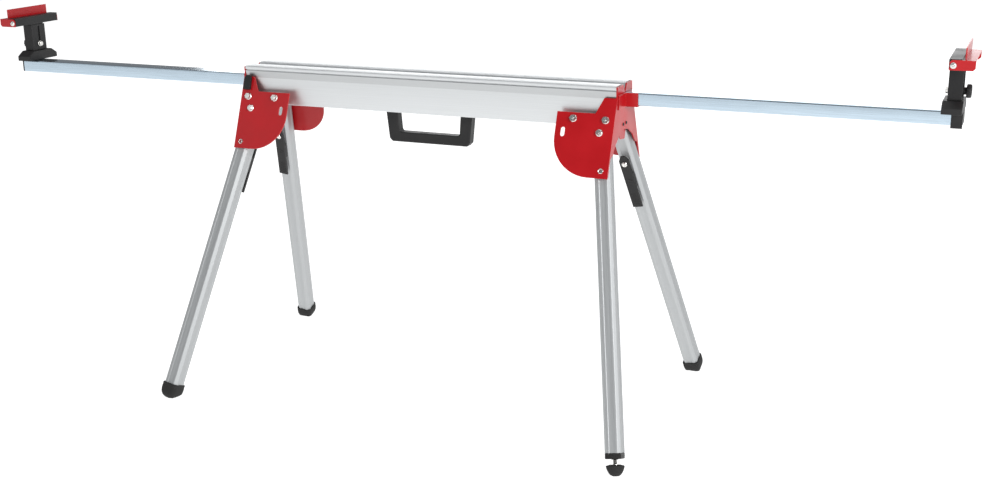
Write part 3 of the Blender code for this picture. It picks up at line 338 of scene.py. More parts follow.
class Recipe:
    """A material's node tree while it is being written."""

    def __init__(self, name: str) -> None:
        """Start a material of this name."""
        self.material = bpy.data.materials.new(name)
        self.material.use_nodes = True
        self.tree = self.material.node_tree
        self.shader = self.tree.nodes["Principled BSDF"]
        where = self.tree.nodes.new("ShaderNodeAttribute")
        where.attribute_name = GRAIN
        self.where = where.outputs["Vector"]

    def node(self, kind: str, inputs: dict[str, object], **settings: object) -> bpy.types.Node:
        """Add a node.

        Args:
            kind: The node's type, without its leading ShaderNode.
            inputs: What goes into its inputs: a socket to link, or a value.
            settings: The node's own settings.

        Returns:
            The node.
        """
        made = self.tree.nodes.new("ShaderNode" + kind)
        for key, value in settings.items():
            setattr(made, key, value)
        for key, value in inputs.items():
            self.fill(made.inputs[int(key) if key.isdigit() else key], value)
        return made

    def fill(self, socket: bpy.types.NodeSocket, value: object) -> None:
        """Link an input to another node's output, or set its value."""
        if isinstance(value, bpy.types.NodeSocket):
            self.tree.links.new(value, socket)
        else:
            socket.default_value = value

    def noise(self, per_metre: tuple[float, float, float], detail: float = 3.0) -> bpy.types.NodeSocket:
        """Noise whose grains are stretched: so many to a metre along each pattern axis."""
        mapped = self.node("Mapping", {"Vector": self.where, "Scale": per_metre})
        made = self.node("TexNoise", {"Vector": mapped.outputs[0], "Scale": 1.0, "Detail": detail})
        return made.outputs["Fac"]

    def cells(self, per_metre: float, stretch: float = 1.0) -> bpy.types.NodeSocket:
        """A patchwork of random greys, as the spangle of plating."""
        scale = (per_metre, per_metre, per_metre / stretch)
        mapped = self.node("Mapping", {"Vector": self.where, "Scale": scale})
        made = self.node("TexVoronoi", {"Vector": mapped.outputs[0], "Scale": 1.0, "Randomness": 1.0})
        return self.node("SeparateColor", {"Color": made.outputs["Color"]}).outputs[0]

    def spread(self, source: bpy.types.NodeSocket, low: float, high: float) -> bpy.types.NodeSocket:
        """Map the middle of a noise onto a range of numbers."""
        made = self.node("MapRange", {"Value": source, "From Min": 0.3, "From Max": 0.7,
                                      "To Min": low, "To Max": high})
        return made.outputs["Result"]

    def between(self, share: bpy.types.NodeSocket, first: object, second: object) -> bpy.types.NodeSocket:
        """Blend two colours by a share from 0 to 1."""
        made = self.node("Mix", {"0": share, "6": first, "7": second}, data_type="RGBA")
        return made.outputs[2]

    def edges(self, radius: float) -> bpy.types.NodeSocket:
        """How near an outer edge a point is: one minus the cosine between true and rounded normals."""
        rounded = self.node("Bevel", {"Radius": radius}, samples=4)
        plain = self.node("NewGeometry", {})
        across = self.node("VectorMath", {"0": rounded.outputs[0], "1": plain.outputs["Normal"]},
                           operation="DOT_PRODUCT")
        made = self.node("MapRange", {"Value": across.outputs["Value"], "From Min": 0.995,
                                      "From Max": 0.90, "To Min": 0.0, "To Max": 1.0})
        return made.outputs["Result"]

    def relief(self, height: bpy.types.NodeSocket, depth: float, below: object = None) -> bpy.types.NodeSocket:
        """A bump of a given depth in metres, on top of another if there is one."""
        inputs: dict[str, object] = {"Height": height, "Strength": 1.0, "Distance": depth}
        if below is not None:
            inputs["Normal"] = below
        return self.node("Bump", inputs).outputs["Normal"]

    def put(self, **inputs: object) -> bpy.types.Material:
        """Fill the shader's sockets, whose names have underscores for spaces, and end the recipe."""
        for key, value in inputs.items():
            self.fill(self.shader.inputs[key.replace("_", " ")], value)
        return self.material


def grey(level: float, tint: tuple[float, float, float] = (1.0, 1.0, 1.0)) -> tuple[float, ...]:
    """A grey with a tint, as a colour with alpha."""
    return (*[level * part for part in tint], 1.0)


@dataclass(frozen=True)
class DrawnAluminium:
    """Extruded and clear anodised aluminium: die lines along the grain, faint clouding."""

    name: str = "drawn_aluminium"
    slot: str = "aluminium"
    light: float = 0.74
    dark: float = 0.60
    rough: tuple[float, float] = (0.30, 0.44)
    line_depth: float = 0.02 * MM
    painted_shade_band: tuple[float, float] | None = None
    painted_shade_level: float = 0.80

    def material(self) -> bpy.types.Material:
        """Write the material. Fine lines are noise drawn out a hundredfold along Z.

        A band of the section, between two heights, can be darkened as painted shade: a multiplied grey
        standing in for shade along the rails.
        """
        recipe = Recipe(self.name)
        lines = recipe.noise((900.0, 900.0, 4.0), 4.0)
        clouds = recipe.noise((9.0, 9.0, 2.5))
        pits = recipe.noise((1500.0, 1500.0, 700.0), 2.0)
        tint = (0.965, 0.99, 1.0)
        tone = recipe.between(recipe.spread(lines, 0.0, 1.0), grey(self.dark, tint), grey(self.light, tint))
        colour = recipe.between(recipe.spread(clouds, 0.0, 0.35), tone, grey(self.light, tint))
        # Painted shade: colours at heights inside the band are multiplied by a grey.
        if self.painted_shade_band is not None:
            parts = recipe.node("SeparateXYZ", {"Vector": recipe.where})
            middle, half = (self.painted_shade_band[0] + self.painted_shade_band[1]) / 2, (self.painted_shade_band[1] - self.painted_shade_band[0]) / 2
            inside = recipe.node("Math", {"0": parts.outputs["Y"], "1": middle, "2": half},
                                 operation="COMPARE").outputs[0]
            shaded = recipe.node("Mix", {"0": 1.0, "6": colour, "7": grey(self.painted_shade_level)},
                                 data_type="RGBA", blend_type="MULTIPLY").outputs[2]
            colour = recipe.between(inside, colour, shaded)
        normal = recipe.relief(lines, self.line_depth)
        normal = recipe.relief(pits, self.line_depth / 2, normal)
        rough = recipe.spread(lines, *self.rough)
        return recipe.put(Base_Color=colour, Metallic=1.0, Roughness=rough, Normal=normal)


@dataclass(frozen=True)
class PlatedSteel:
    """Zinc-plated steel: a bluish sheen, small spangle and rolling marks."""

    name: str = "zinc_plate"
    slot: str = "zinc_plate"
    colour: tuple[float, float, float] = (0.53, 0.64, 0.73)
    shade: float = 0.82
    rough: tuple[float, float] = (0.10, 0.20)
    spangle: float = 160.0
    stretch: float = 6.0

    def material(self) -> bpy.types.Material:
        """Write the material. The spangle is cells, and the rolling marks are long noise."""
        recipe = Recipe(self.name)
        cells = recipe.cells(self.spangle, self.stretch)
        marks = recipe.noise((500.0, 500.0, 7.0), 4.0)
        light = (*self.colour, 1.0)
        dark = (*[part * self.shade for part in self.colour], 1.0)
        base = recipe.between(recipe.spread(marks, 0.0, 1.0), dark, light)
        colour = recipe.between(recipe.spread(cells, 0.0, 0.25), base, light)
        normal = recipe.relief(marks, 0.012 * MM)
        normal = recipe.relief(cells, 0.004 * MM, normal)
        rough = recipe.spread(marks, *self.rough)
        return recipe.put(Base_Color=colour, Metallic=1.0, Roughness=rough, Normal=normal)


@dataclass(frozen=True)
class PowderCoat:
    """Baked powder on steel: orange peel, slightly thin and rubbed on the edges."""

    name: str = "red_powder"
    slot: str = "red_powder"
    colour: tuple[float, float, float] = (0.43, 0.002, 0.006)
    thin: tuple[float, float, float] = (0.37, 0.002, 0.005)
    rubbed: tuple[float, float, float] = (0.72, 0.10, 0.09)
    rough: tuple[float, float] = (0.30, 0.44)
    peel: float = 0.05 * MM
    gloss: float = 0.30
    coat: float = 0.25

    def material(self) -> bpy.types.Material:
        """Write the material. The peel is noise of about 1 mm, and dust lies in wide clouds."""
        recipe = Recipe(self.name)
        peel = recipe.noise((700.0, 700.0, 700.0), 2.0)
        clouds = recipe.noise((14.0, 14.0, 14.0), 4.0)
        worn = recipe.node("Math", {"0": recipe.edges(0.8 * MM), "1": recipe.spread(clouds, 0.0, 1.0)},
                           operation="MULTIPLY").outputs[0]
        tone = recipe.between(recipe.spread(clouds, 0.0, 1.0), (*self.thin, 1.0), (*self.colour, 1.0))
        colour = recipe.between(worn, tone, (*self.rubbed, 1.0))
        rough = recipe.spread(clouds, *self.rough)
        return recipe.put(Base_Color=colour, Roughness=rough, Normal=recipe.relief(peel, self.peel),
                          Specular_IOR_Level=self.gloss, Coat_Weight=self.coat, Coat_Roughness=0.12)


@dataclass(frozen=True)
class Moulding:
    """Moulded plastic or rubber: a fine grain, and edges polished by handling."""

    name: str = "black_plastic"
    slot: str = "black_plastic"
    colour: tuple[float, float, float] = (0.010, 0.010, 0.0105)
    worn: tuple[float, float, float] = (0.050, 0.048, 0.046)
    gloss: float = 0.32
    rough: tuple[float, float] = (0.38, 0.58)
    grain: float = 1100.0
    depth: float = 0.05 * MM

    def material(self) -> bpy.types.Material:
        """Write the material. Its grain is cells on top of fine noise."""
        recipe = Recipe(self.name)
        fine = recipe.noise((self.grain, self.grain, self.grain), 2.0)
        clouds = recipe.noise((22.0, 22.0, 22.0), 4.0)
        dusty = recipe.between(recipe.spread(clouds, 0.0, 0.2), (*self.colour, 1.0), (*self.worn, 1.0))
        colour = recipe.between(recipe.edges(0.7 * MM), dusty, (*self.worn, 1.0))
        rough = recipe.spread(clouds, *self.rough)
        return recipe.put(Base_Color=colour, Roughness=rough, Normal=recipe.relief(fine, self.depth),
                          Specular_IOR_Level=self.gloss)


class Finishes:
    """The finishes of the stand, each written once."""

    def __init__(self) -> None:
        """Write every material."""
        self.recipes = {
            # The beam's band from 809.2 to 828.0 mm high gets painted shade, multiplied by 0.74.
            "aluminium": DrawnAluminium(light=0.75, dark=0.67, rough=(0.36, 0.48),
                                        painted_shade_band=(809.2 * MM, 828.0 * MM), painted_shade_level=0.74),
            "leg": DrawnAluminium(name="leg_aluminium", light=0.56, dark=0.45, rough=(0.55, 0.70)),
            "zinc": PlatedSteel(),
            "bright": PlatedSteel(name="bright_zinc", slot="bright_zinc", colour=(0.80, 0.79, 0.76),
                                  rough=(0.14, 0.30), spangle=900.0, stretch=1.0),
            "red": PowderCoat(),
            "black_steel": PowderCoat(name="black_steel", slot="black_steel", colour=(0.010, 0.010, 0.0105),
                                      thin=(0.016, 0.0155, 0.016), rubbed=(0.12, 0.115, 0.11),
                                      rough=(0.30, 0.46), gloss=0.30, coat=0.0),
            "plastic": Moulding(),
            "rubber": Moulding(name="rubber", slot="rubber", colour=(0.014, 0.014, 0.014),
                               worn=(0.05, 0.048, 0.046), rough=(0.66, 0.86), grain=700.0),
        }
        self.made = {key: recipe.material() for key, recipe in self.recipes.items()}

    def dress(self, piece: bpy.types.Object, key: str) -> None:
        """Give a piece a finish."""
        piece.data.materials.clear()
        piece.data.materials.append(self.made[key])


@dataclass
class Workshop:
    """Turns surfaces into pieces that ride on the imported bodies."""

    finishes: Finishes

    def add(self, name: str, surface: Surface, finish: str, body: str, replaces: tuple[str, ...] = (),
            edge: float = 0.0, segments: int = 2) -> None:
        """Make a piece.

        Args:
            name: The piece's name.
            surface: Its mesh, in place.
            finish: The key of its finish.
            body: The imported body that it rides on.
            replaces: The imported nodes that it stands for.
            edge: The width of a bevel on its sharp edges, or 0.
            segments: The number of faces across that bevel.
        """
        mesh = bpy.data.meshes.new(name)
        mesh.from_pydata(surface.points, [], surface.faces)
        grain = mesh.attributes.new(GRAIN, "FLOAT_VECTOR", "POINT")
        grain.data.foreach_set("vector", surface.grain.astype(np.float32).ravel())
        mesh.validate()
        mesh.shade_smooth()
        mesh.set_sharp_from_angle(angle=SHARP)
        piece = bpy.data.objects.new(name, mesh)
        bpy.context.scene.collection.objects.link(piece)
        if edge:
            bevel = piece.modifiers.new("edge", "BEVEL")
            bevel.width = edge
            bevel.segments = segments
            bevel.limit_method = "ANGLE"
            bevel.angle_limit = SHARP
            bevel.harden_normals = True
        self.finishes.dress(piece, finish)
        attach(piece, body)
        if replaces:
            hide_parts(*replaces)
        LOG.info("%s: %d faces on %s", name, len(mesh.polygons), body)

    def refine(self, node: str, finish: str, body: str, edge: float, basis: Matrix,
               segments: int = 2) -> None:
        """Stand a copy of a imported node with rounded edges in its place."""
        self.add(f"{node}_finished", of_node(node, basis), finish, body, (node,), edge, segments)


# Frames


@dataclass(frozen=True)
class Corner:
    """One leg's corner of the stand, with its frames read from the joints."""

    row: Row
    side: Side

    @property
    def tag(self) -> str:
        """The corner's name."""
        return f"{self.row.name.lower()}_{self.side.name.lower()}"

    def plate(self) -> Matrix:
        """The frame on the leg's pivot: x outboard, y inward through the plate, z up the plate."""
        joint = JOINTS[f"leg_fold_{self.tag}"]
        _, tilt_cos, tilt_sin = (abs(part) for part in joint["axis"])
        row = self.row.value
        outboard = Vector((self.side.value, 0.0, 0.0))
        inward = Vector((0.0, -row * tilt_cos, -tilt_sin))
        upward = Vector((0.0, -row * tilt_sin, tilt_cos))
        turn = Matrix((outboard, inward, upward)).transposed().to_4x4()
        return Matrix.Translation(joint["pos_m"]) @ turn

    def leg(self) -> Matrix:
        """The plate's frame turned to the leg's splay, with -z down the leg."""
        across = JOINTS[f"lock_lever_turn_{self.tag}"]["axis"][0]
        return self.plate() @ Matrix.Rotation(-math.acos(abs(across)), 4, "Y")


def along_x() -> Matrix:
    """A frame whose z runs along X."""
    return Matrix.Rotation(math.radians(90.0), 4, "Y") @ Matrix.Rotation(math.radians(90.0), 4, "Z")


def facing(origin: Vector | tuple[float, float, float], toward: Vector | tuple[float, float, float]) -> Matrix:
    """A frame at a point with its z towards a direction."""
    turn = Vector(toward).to_track_quat("Z", "Y").to_matrix().to_4x4()
    return Matrix.Translation(Vector(origin)) @ turn


def end_turn(side: Side) -> Matrix:
    """The left end is the right end turned half round."""
    return Matrix.Rotation(0.0 if side is Side.RIGHT else math.pi, 4, "Z")


# Fasteners


@dataclass(frozen=True)
class FlangeNut:
    """A flanged nut with the end of its stud. Its z points away from the seat."""

    across: float = 13.0 * MM
    height: float = 7.0 * MM
    flange_radius: float = 9.0 * MM
    flange: float = 1.6 * MM
    stud: float = 3.9 * MM
    stud_end: float = 9.0 * MM

    def surface(self) -> Surface:
        """Build the flange, the nut and the chamfered stud end."""
        lip = self.flange_radius
        flange = turned([(lip * 0.98, 0.0), (lip, self.flange * 0.3), (lip * 0.97, self.flange * 0.6),
                         (self.across * 0.52, self.flange * 1.5)])
        nut = hexagonal(self.across, self.flange * 0.6, self.height, 1.3 * MM)
        stud = threaded(self.stud, self.height - 1.0 * MM, self.stud_end - 0.8 * MM, 1.25 * MM, 0.5 * MM)
        tip = turned([(self.stud * 0.86, self.stud_end - 1.2 * MM), (self.stud * 0.62, self.stud_end)])
        return flange + nut + stud + tip


@dataclass(frozen=True)
class SocketScrew:
    """A button-head screw with a hexagonal socket."""

    radius: float = 7.0 * MM
    height: float = 3.4 * MM
    socket: float = 5.0 * MM
    sink: float = 2.0 * MM

    def surface(self) -> Surface:
        """Build the dome and sink the socket: rings go up the dome, over its rim and down the socket."""
        sides = 48
        rise = np.linspace(0.0, 1.0, 7)
        dome = self.radius * np.sqrt(1.0 - (0.80 * rise) ** 2)
        hexagon = flat_sided(self.socket, 6, sides)
        radius = np.concatenate([np.repeat(dome[:, None], sides, axis=1), hexagon[None], hexagon[None]])
        return spun(radius, np.concatenate([rise * self.height, [self.height, self.height - self.sink]]))


def rivet(radius: float, height: float) -> Surface:
    """A domed rivet head with a small dimple."""
    return turned([
        (radius, 0.0), (radius, height * 0.25), (radius * 0.86, height * 0.7), (radius * 0.6, height),
        (radius * 0.3, height), (radius * 0.2, height * 0.72),
    ], 28)


# The beam and its handle


@dataclass
class Beam:
    """The long extrusion with two hollow rails, a valley between them and two chambers."""

    shop: Workshop
    wall: float = 2.4 * MM
    rail_inner: float = 13.0 * MM
    valley_floor: float = 5.0 * MM
    groove_down: float = 8.0 * MM
    groove_height: float = 3.5 * MM
    groove_depth: float = 3.5 * MM
    nose_height: float = 13.0 * MM
    rail_height: float = 30.0 * MM
    body_half: float = 53.0 * MM
    arm_top_down: float = 21.6 * MM
    arm_room: float = 31.8 * MM
    arm_room_half: float = 50.8 * MM
    boss: float = 4.2 * MM

    def outline(self, low: float, top: float, half: float) -> np.ndarray:
        """The outer section in (y, z), anticlockwise, with its corners rounded."""
        floor = top - self.arm_top_down + self.wall
        groove = top - self.groove_down
        right = [
            (self.body_half - 1.5 * MM, low), (self.body_half, low + 1.5 * MM),
            (self.body_half, top - self.rail_height), (half, top - self.nose_height),
            (half, groove - self.groove_height), (half - self.groove_depth, groove - self.groove_height),
            (half - self.groove_depth, groove), (half, groove),
            (half, top - 1.0 * MM), (half - 1.0 * MM, top),
            (self.rail_inner + 6.0 * MM, top), (self.rail_inner + 5.2 * MM, top - 0.7 * MM),
            (self.rail_inner + 1.4 * MM, top - 0.7 * MM),
            (self.rail_inner, top - 2.0 * MM), (self.valley_floor, floor),
        ]
        return softened(right + mirrored(right), 0.45 * MM, 2)

    def rooms(self, low: float, top: float, half: float) -> list[np.ndarray]:
        """The hollow rooms: the arms' chamber, the lower chamber with a screw channel, two rails."""
        arm_top = top - self.arm_top_down
        arm_low = arm_top - self.arm_room
        lower_half = self.body_half - self.wall
        rail_far = half - self.groove_depth - self.wall
        rail_near = self.rail_inner + self.wall + 1.0 * MM
        rail_low = arm_top + self.wall
        rail_high = top - self.wall
        rail = [(rail_near, rail_low), (rail_far, rail_low), (rail_far, rail_high), (rail_near, rail_high)]
        arms = rectangle(2 * self.arm_room_half, self.arm_room, (0.0, (arm_top + arm_low) / 2))
        bottom = low + self.wall
        ceiling = arm_low - self.wall
        chamber = [
            (-lower_half, bottom), (-self.boss, bottom), (-self.boss * 0.6, bottom + self.boss * 1.6),
            (self.boss * 0.6, bottom + self.boss * 1.6), (self.boss, bottom), (lower_half, bottom),
            (lower_half, ceiling), (-lower_half, ceiling),
        ]
        return [softened(room, 1.0 * MM) for room in (arms, chamber, rail, mirrored(rail))]

    def build(self) -> None:
        """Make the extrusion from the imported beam's box."""
        low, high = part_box("beam")
        outer = self.outline(low.z, high.z, high.y)
        surface = extrusion(outer, self.rooms(low.z, high.z, high.y), low.x, high.x)
        self.shop.add("beam_extrusion", surface.placed(along_x()), "aluminium", "stand", ("beam",))


@dataclass
class Handle:
    """The carrying handle: a moulded strap with a ribbed grip and two feet."""

    shop: Workshop
    corner: float = 4.5 * MM
    rib_pitch: float = 7.0 * MM
    grip_half: float = 58.0 * MM

    def build(self) -> None:
        """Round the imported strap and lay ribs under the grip."""
        low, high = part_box("carry_handle")
        basis = along_x()
        self.shop.refine("carry_handle", "plastic", "stand", self.corner, basis, segments=5)
        outline = softened(rectangle(2.4 * MM, high.y - low.y - 6.0 * MM), 1.1 * MM)
        bar = block(outline, 0.0, 3.0 * MM, 0.8 * MM)
        count = int(2 * self.grip_half / self.rib_pitch)
        places = [-self.grip_half + (index + 0.5) * self.rib_pitch for index in range(count)]
        ribs = gathered([bar.placed(Matrix.Translation((x, 0.0, low.z - 0.2 * MM))) for x in places])
        self.shop.add("handle_grip_ribs", ribs, "plastic", "stand")


# Corners

# The ways along a corner's second axis
INWARD = (0.0, 1.0, 0.0)
OUTWARD = (0.0, -1.0, 0.0)
# (share of the section, mm down from the top) of a rubber boot
BOOT_STEPS = (
    (0.93, 0.0), (0.985, -0.8), (1.0, -2.0), (1.0, -5.0), (0.975, -5.8), (0.975, -7.6), (1.0, -8.4),
    (1.0, -15.0), (0.985, -20.0), (0.95, -25.0), (0.88, -30.0), (0.76, -34.5), (0.60, -38.0),
    (0.40, -40.5), (0.20, -41.6),
)
# (radius, height) in mm of the levelling pad, down from its top, and of a lock pin's bush
PAD_PROFILE = ((4.0, -27.0), (8.0, -26.2), (12.0, -23.6), (15.6, -19.4), (18.4, -14.2), (20.4, -9.0),
               (21.5, -5.0), (21.5, -3.4), (20.6, -2.4), (12.0, 0.0))
BUSH_PROFILE = ((6.4, 0.0), (6.2, 1.1), (5.2, 1.5), (4.5, 1.0), (4.5, -3.0))


@dataclass
class LegCorner:
    """A bracket half with its mount, and the leg with its bolt, lock, hinge and foot."""

    shop: Workshop
    corner: Corner
    plate_out: float = 27.9 * MM
    plate_thick: float = 3.5 * MM
    bolt_row: float = 30.5 * MM
    bolt_outboard: float = 12.0 * MM
    bolt_inboard: float = -68.0 * MM
    leg_width: float = 39.5 * MM
    leg_depth: float = 42.0 * MM
    leg_chamfer: float = 7.0 * MM
    leg_wall: float = 2.4 * MM
    leg_length: float = 771.0 * MM
    short_length: float = 739.0 * MM
    flute_width: float = 15.0 * MM
    flute_depth: float = 0.9 * MM
    pin_at: float = 91.0 * MM
    pivot_at: float = 142.0 * MM
    lever_rise: float = 10.6 * MM
    lever_thick: float = 5.5 * MM
    lever_end: float = 219.0 * MM
    lever_ribs: int = 6
    rib_pitch: float = 6.0 * MM
    collar: float = 13.3 * MM
    pad_drop: float = 13.0 * MM
    seat: float = 0.2 * MM

    @property
    def tag(self) -> str:
        """The corner's name."""
        return self.corner.tag

    @property
    def adjustable(self) -> bool:
        """Only the front right leg has a levelling foot."""
        return self.corner.row is Row.FRONT and self.corner.side is Side.RIGHT

    def nut(self, seat: tuple[float, float, float], toward: tuple[float, float, float]) -> Surface:
        """A flanged nut on a seat in the plate's frame."""
        return FlangeNut().surface().placed(self.corner.plate() @ facing(seat, toward))

    def bracket(self) -> None:
        """Round the edges of the sheet-metal bracket."""
        self.shop.refine(f"leg_bracket_{self.tag}", "red", "stand", 0.7 * MM, self.corner.plate())

    def mount(self) -> None:
        """Round the wedge and put flanged nuts on its studs."""
        nuts = gathered([self.nut((x, -self.plate_out - self.seat, self.bolt_row), OUTWARD)
                         for x in (self.bolt_inboard, self.bolt_outboard)])
        self.shop.add(f"bracket_nuts_{self.tag}", nuts, "bright", "stand")
        self.shop.refine(f"bracket_mount_{self.tag}", "bright", "stand", 0.5 * MM, self.corner.plate())

    def pivot_bolt(self) -> None:
        """A flanged head outside the plate, a spacer, and a flanged nut behind the leg."""
        head = self.nut((0.0, -self.plate_out - self.seat, 0.0), OUTWARD)
        nut = self.nut((0.0, self.leg_depth / 2 + self.seat, 0.0), INWARD)
        spacer = turned(mm((10.0, 0.0), (10.8, 0.5), (10.8, 2.5), (10.0, 3.0)))
        inside = (0.0, -self.plate_out + self.plate_thick + self.seat, 0.0)
        spacer = spacer.placed(self.corner.plate() @ facing(inside, INWARD))
        self.shop.add(f"pivot_bolt_{self.tag}", head + nut + spacer, "bright", "stand",
                      (f"leg_pivot_bolt_{self.tag}",))

    def eyelet(self) -> None:
        """The bright bush in the plate that the lock pin enters."""
        place = (0.0, -self.plate_out - self.seat / 2, -self.pin_at)
        ring = turned(mm(*BUSH_PROFILE), ends=False)
        ring = ring.placed(self.corner.leg() @ facing(place, OUTWARD))
        self.shop.add(f"pin_bush_{self.tag}", ring, "bright", "stand")

    def leg_outline(self) -> np.ndarray:
        """The leg's section: chamfered corners, and a shallow flute along each flat side."""
        half_x, half_y = self.leg_width / 2, self.leg_depth / 2
        cut, flute, deep = self.leg_chamfer, self.flute_width / 2, self.flute_depth
        slope = 1.2 * MM
        quarter = [
            (half_x, -half_y + cut), (half_x, -flute), (half_x - deep, -flute + slope),
            (half_x - deep, flute - slope), (half_x, flute), (half_x, half_y - cut),
            (half_x - cut, half_y), (flute, half_y), (flute - slope, half_y - deep),
            (-flute + slope, half_y - deep), (-flute, half_y), (-half_x + cut, half_y),
        ]
        other = [(-x, -y) for x, y in quarter]
        return divided(softened(quarter + other, 0.5 * MM, 2), 3)

    def leg(self) -> None:
        """The tube: its upper end is cut to a half circle, z = sqrt(r^2 - x^2)."""
        outer = self.leg_outline()
        wall = 1.0 - 2 * self.leg_wall / self.leg_width
        inner = outer * wall
        length = self.short_length if self.adjustable else self.leg_length
        radius = self.leg_width / 2 - 0.3 * MM
        low = np.full(len(outer), -length)
        high = np.sqrt(np.maximum(radius**2 - outer[:, 0] ** 2, 0.0))
        surface = tube(outer, inner, low, high)
        body = f"leg_{self.tag}"
        self.shop.add(f"leg_tube_{self.tag}", surface.placed(self.corner.leg()), "leg", body, (body,))

    def lock(self) -> None:
        """The lever with its ribs, the domed pin through it and the riveted hinge."""
        leg = self.corner.leg()
        face = self.leg_depth / 2 + self.lever_rise + self.lever_thick
        bar = block(softened(rectangle(17.0 * MM, 2.2 * MM), 1.0 * MM), 0.0, 1.2 * MM, 0.5 * MM)
        levels = [8.0 * MM + self.rib_pitch * index - self.lever_end for index in range(self.lever_ribs)]
        ribs = gathered([bar.placed(leg @ facing((0.0, face - 0.3 * MM, z), INWARD)) for z in levels])
        dish = turned(mm((6.0, 0.0), (6.0, 1.0), (4.6, 1.2), (3.4, 0.5)), 28)
        dish = dish.placed(leg @ facing((0.0, face - self.seat, -self.pivot_at), INWARD))
        self.shop.add(f"lever_ribs_{self.tag}", ribs + dish, "plastic", f"lock_lever_{self.tag}")
        self.shop.refine(f"leg_lock_lever_{self.tag}", "plastic", f"lock_lever_{self.tag}", 1.3 * MM, leg,
                         segments=3)
        head = rivet(7.0 * MM, 3.2 * MM)
        shank = turned([(3.4 * MM, 0.0), (4.0 * MM, 1.0 * MM), (4.0 * MM, face + self.plate_out)])
        tip = -self.plate_out + self.plate_thick + 0.3 * MM
        pin = (shank.placed(leg @ facing((0.0, tip, -self.pin_at), INWARD))
               + head.placed(leg @ facing((0.0, face + 1.2 * MM, -self.pin_at), INWARD)))
        body = f"lock_pin_{self.tag}"
        self.shop.add(f"pin_{self.tag}", pin, "bright", body, (f"leg_lock_pin_{self.tag}",))
        self.shop.refine(f"lever_hinge_{self.tag}", "black_steel", f"leg_{self.tag}", 0.4 * MM, leg)

    def foot(self) -> None:
        """The rubber boot: the leg's section swelled by a profile, and flattened where it stands."""
        node = f"foot_cap_{self.tag}"
        low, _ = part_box(node)
        section = softened(rectangle(self.leg_width + 6.0 * MM, self.leg_depth + 6.0 * MM), 11.0 * MM, 6)
        top = -self.leg_length + 18.0 * MM
        steps = [(share, top + down * MM) for share, down in reversed(BOOT_STEPS)]
        surface = stacked(divided(section, 2), steps).placed(self.corner.leg())
        surface.points[:, 2] = np.maximum(surface.points[:, 2], low.z)
        self.shop.add(f"boot_{self.tag}", surface, "rubber", f"leg_{self.tag}", (node,))

    def levelling_foot(self) -> None:
        """The ribbed collar, the threaded rod and the rubber pad of the adjustable leg."""
        leg = self.corner.leg()
        end = -self.short_length - 0.3 * MM
        section = softened(rectangle(self.leg_width + 0.6 * MM, self.leg_depth + 0.6 * MM), 8.0 * MM, 5)
        levels = np.linspace(0.0, self.collar, 27)
        share = 0.975 + 0.025 * np.cos(levels / self.collar * 8 * np.pi)
        share[[0, -1]] = 0.93
        collar = stacked(divided(section, 2), list(zip(share, end - levels))[::-1])
        boss = turned([(8.0 * MM, end - 15.0 * MM), (9.5 * MM, end - 12.0 * MM)])
        self.shop.add("levelling_collar_ribbed", (collar + boss).placed(leg), "plastic",
                      f"leg_{self.tag}", ("levelling_collar",))
        pad_top = end - self.collar - self.pad_drop
        rod = threaded(5.0 * MM, pad_top - 3.5 * MM, end + 58.0 * MM, 2.0 * MM, 0.8 * MM)
        self.shop.add("levelling_rod", rod.placed(leg), "bright", "levelling_screw", ("levelling_screw",))
        low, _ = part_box("levelling_pad")
        washer = turned([(7.0 * MM, pad_top - 0.4 * MM), (11.0 * MM, pad_top - 0.2 * MM),
                         (11.0 * MM, pad_top + 0.6 * MM), (7.4 * MM, pad_top + 0.9 * MM)])
        self.shop.add("levelling_washer", washer.placed(leg), "bright", "levelling_pad")
        pad = turned([(r * MM, pad_top + z * MM) for r, z in PAD_PROFILE]).placed(leg)
        pad.points[:, 2] = np.maximum(pad.points[:, 2], low.z)
        self.shop.add("levelling_pad_rubber", pad, "rubber", "levelling_pad", ("levelling_pad",))

    def flange_screws(self) -> None:
        """Two small black screws beside the seam of the end flange."""
        side, row = self.corner.side.value, self.corner.row.value
        _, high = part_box("leg_bracket_front_right")
        screw = SocketScrew(radius=4.2 * MM, height=2.2 * MM, socket=3.0 * MM).surface()
        place = facing((side * high.x, row * 11.0 * MM, 742.0 * MM), (side, 0.0, 0.0))
        self.shop.add(f"flange_screw_{self.tag}", screw.placed(place), "black_steel", "stand")

    def build(self) -> None:
        """Make every piece of the corner."""
        foot = self.levelling_foot if self.adjustable else self.foot
        for step in (self.bracket, self.mount, self.pivot_bolt, self.eyelet, self.leg, self.lock,
                     self.flange_screws, foot):
            step()


# Ends

# (radius in mm, height in mm, share of the flutes) of a knob, from its seat up
KNOB_STEPS = (
    (7.6, 0.0, 0.0), (8.0, 0.6, 0.0), (8.0, 9.0, 0.0), (9.0, 9.8, 0.2), (13.4, 10.0, 0.8), (14.7, 11.0, 1.0),
    (15.0, 12.6, 1.0), (15.0, 17.6, 1.0), (14.4, 19.4, 1.0), (13.0, 20.4, 0.9), (9.4, 20.7, 0.2),
    (8.6, 19.9, 0.0), (4.0, 19.7, 0.0),
)


@dataclass
class Gusset:
    """The small red web behind the arch of an end flange."""

    shop: Workshop
    side: Side
    inset: float = 4.0 * MM
    thick: float = 2.0 * MM

    def build(self) -> None:
        """Make the web as a plate whose outline is wide under the beam and narrow below."""
        _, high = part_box("leg_bracket_front_right")
        low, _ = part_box("beam")
        top = low.z - 1.0 * MM
        outline = np.array([(-36.0, 0.0), (-8.0, -36.0), (26.0, -40.0), (36.0, 0.0)]) * MM + (0.0, top)
        face = high.x - 3.5 * MM - self.inset
        plate = block(softened(outline, 3.0 * MM), -self.thick, 0.0, 0.3 * MM)
        place = Matrix.Translation((face, 0.0, 0.0)) @ along_x()
        surface = plate.placed(end_turn(self.side) @ place)
        self.shop.add(f"flange_web_{self.side.name.lower()}", surface, "red", "stand")


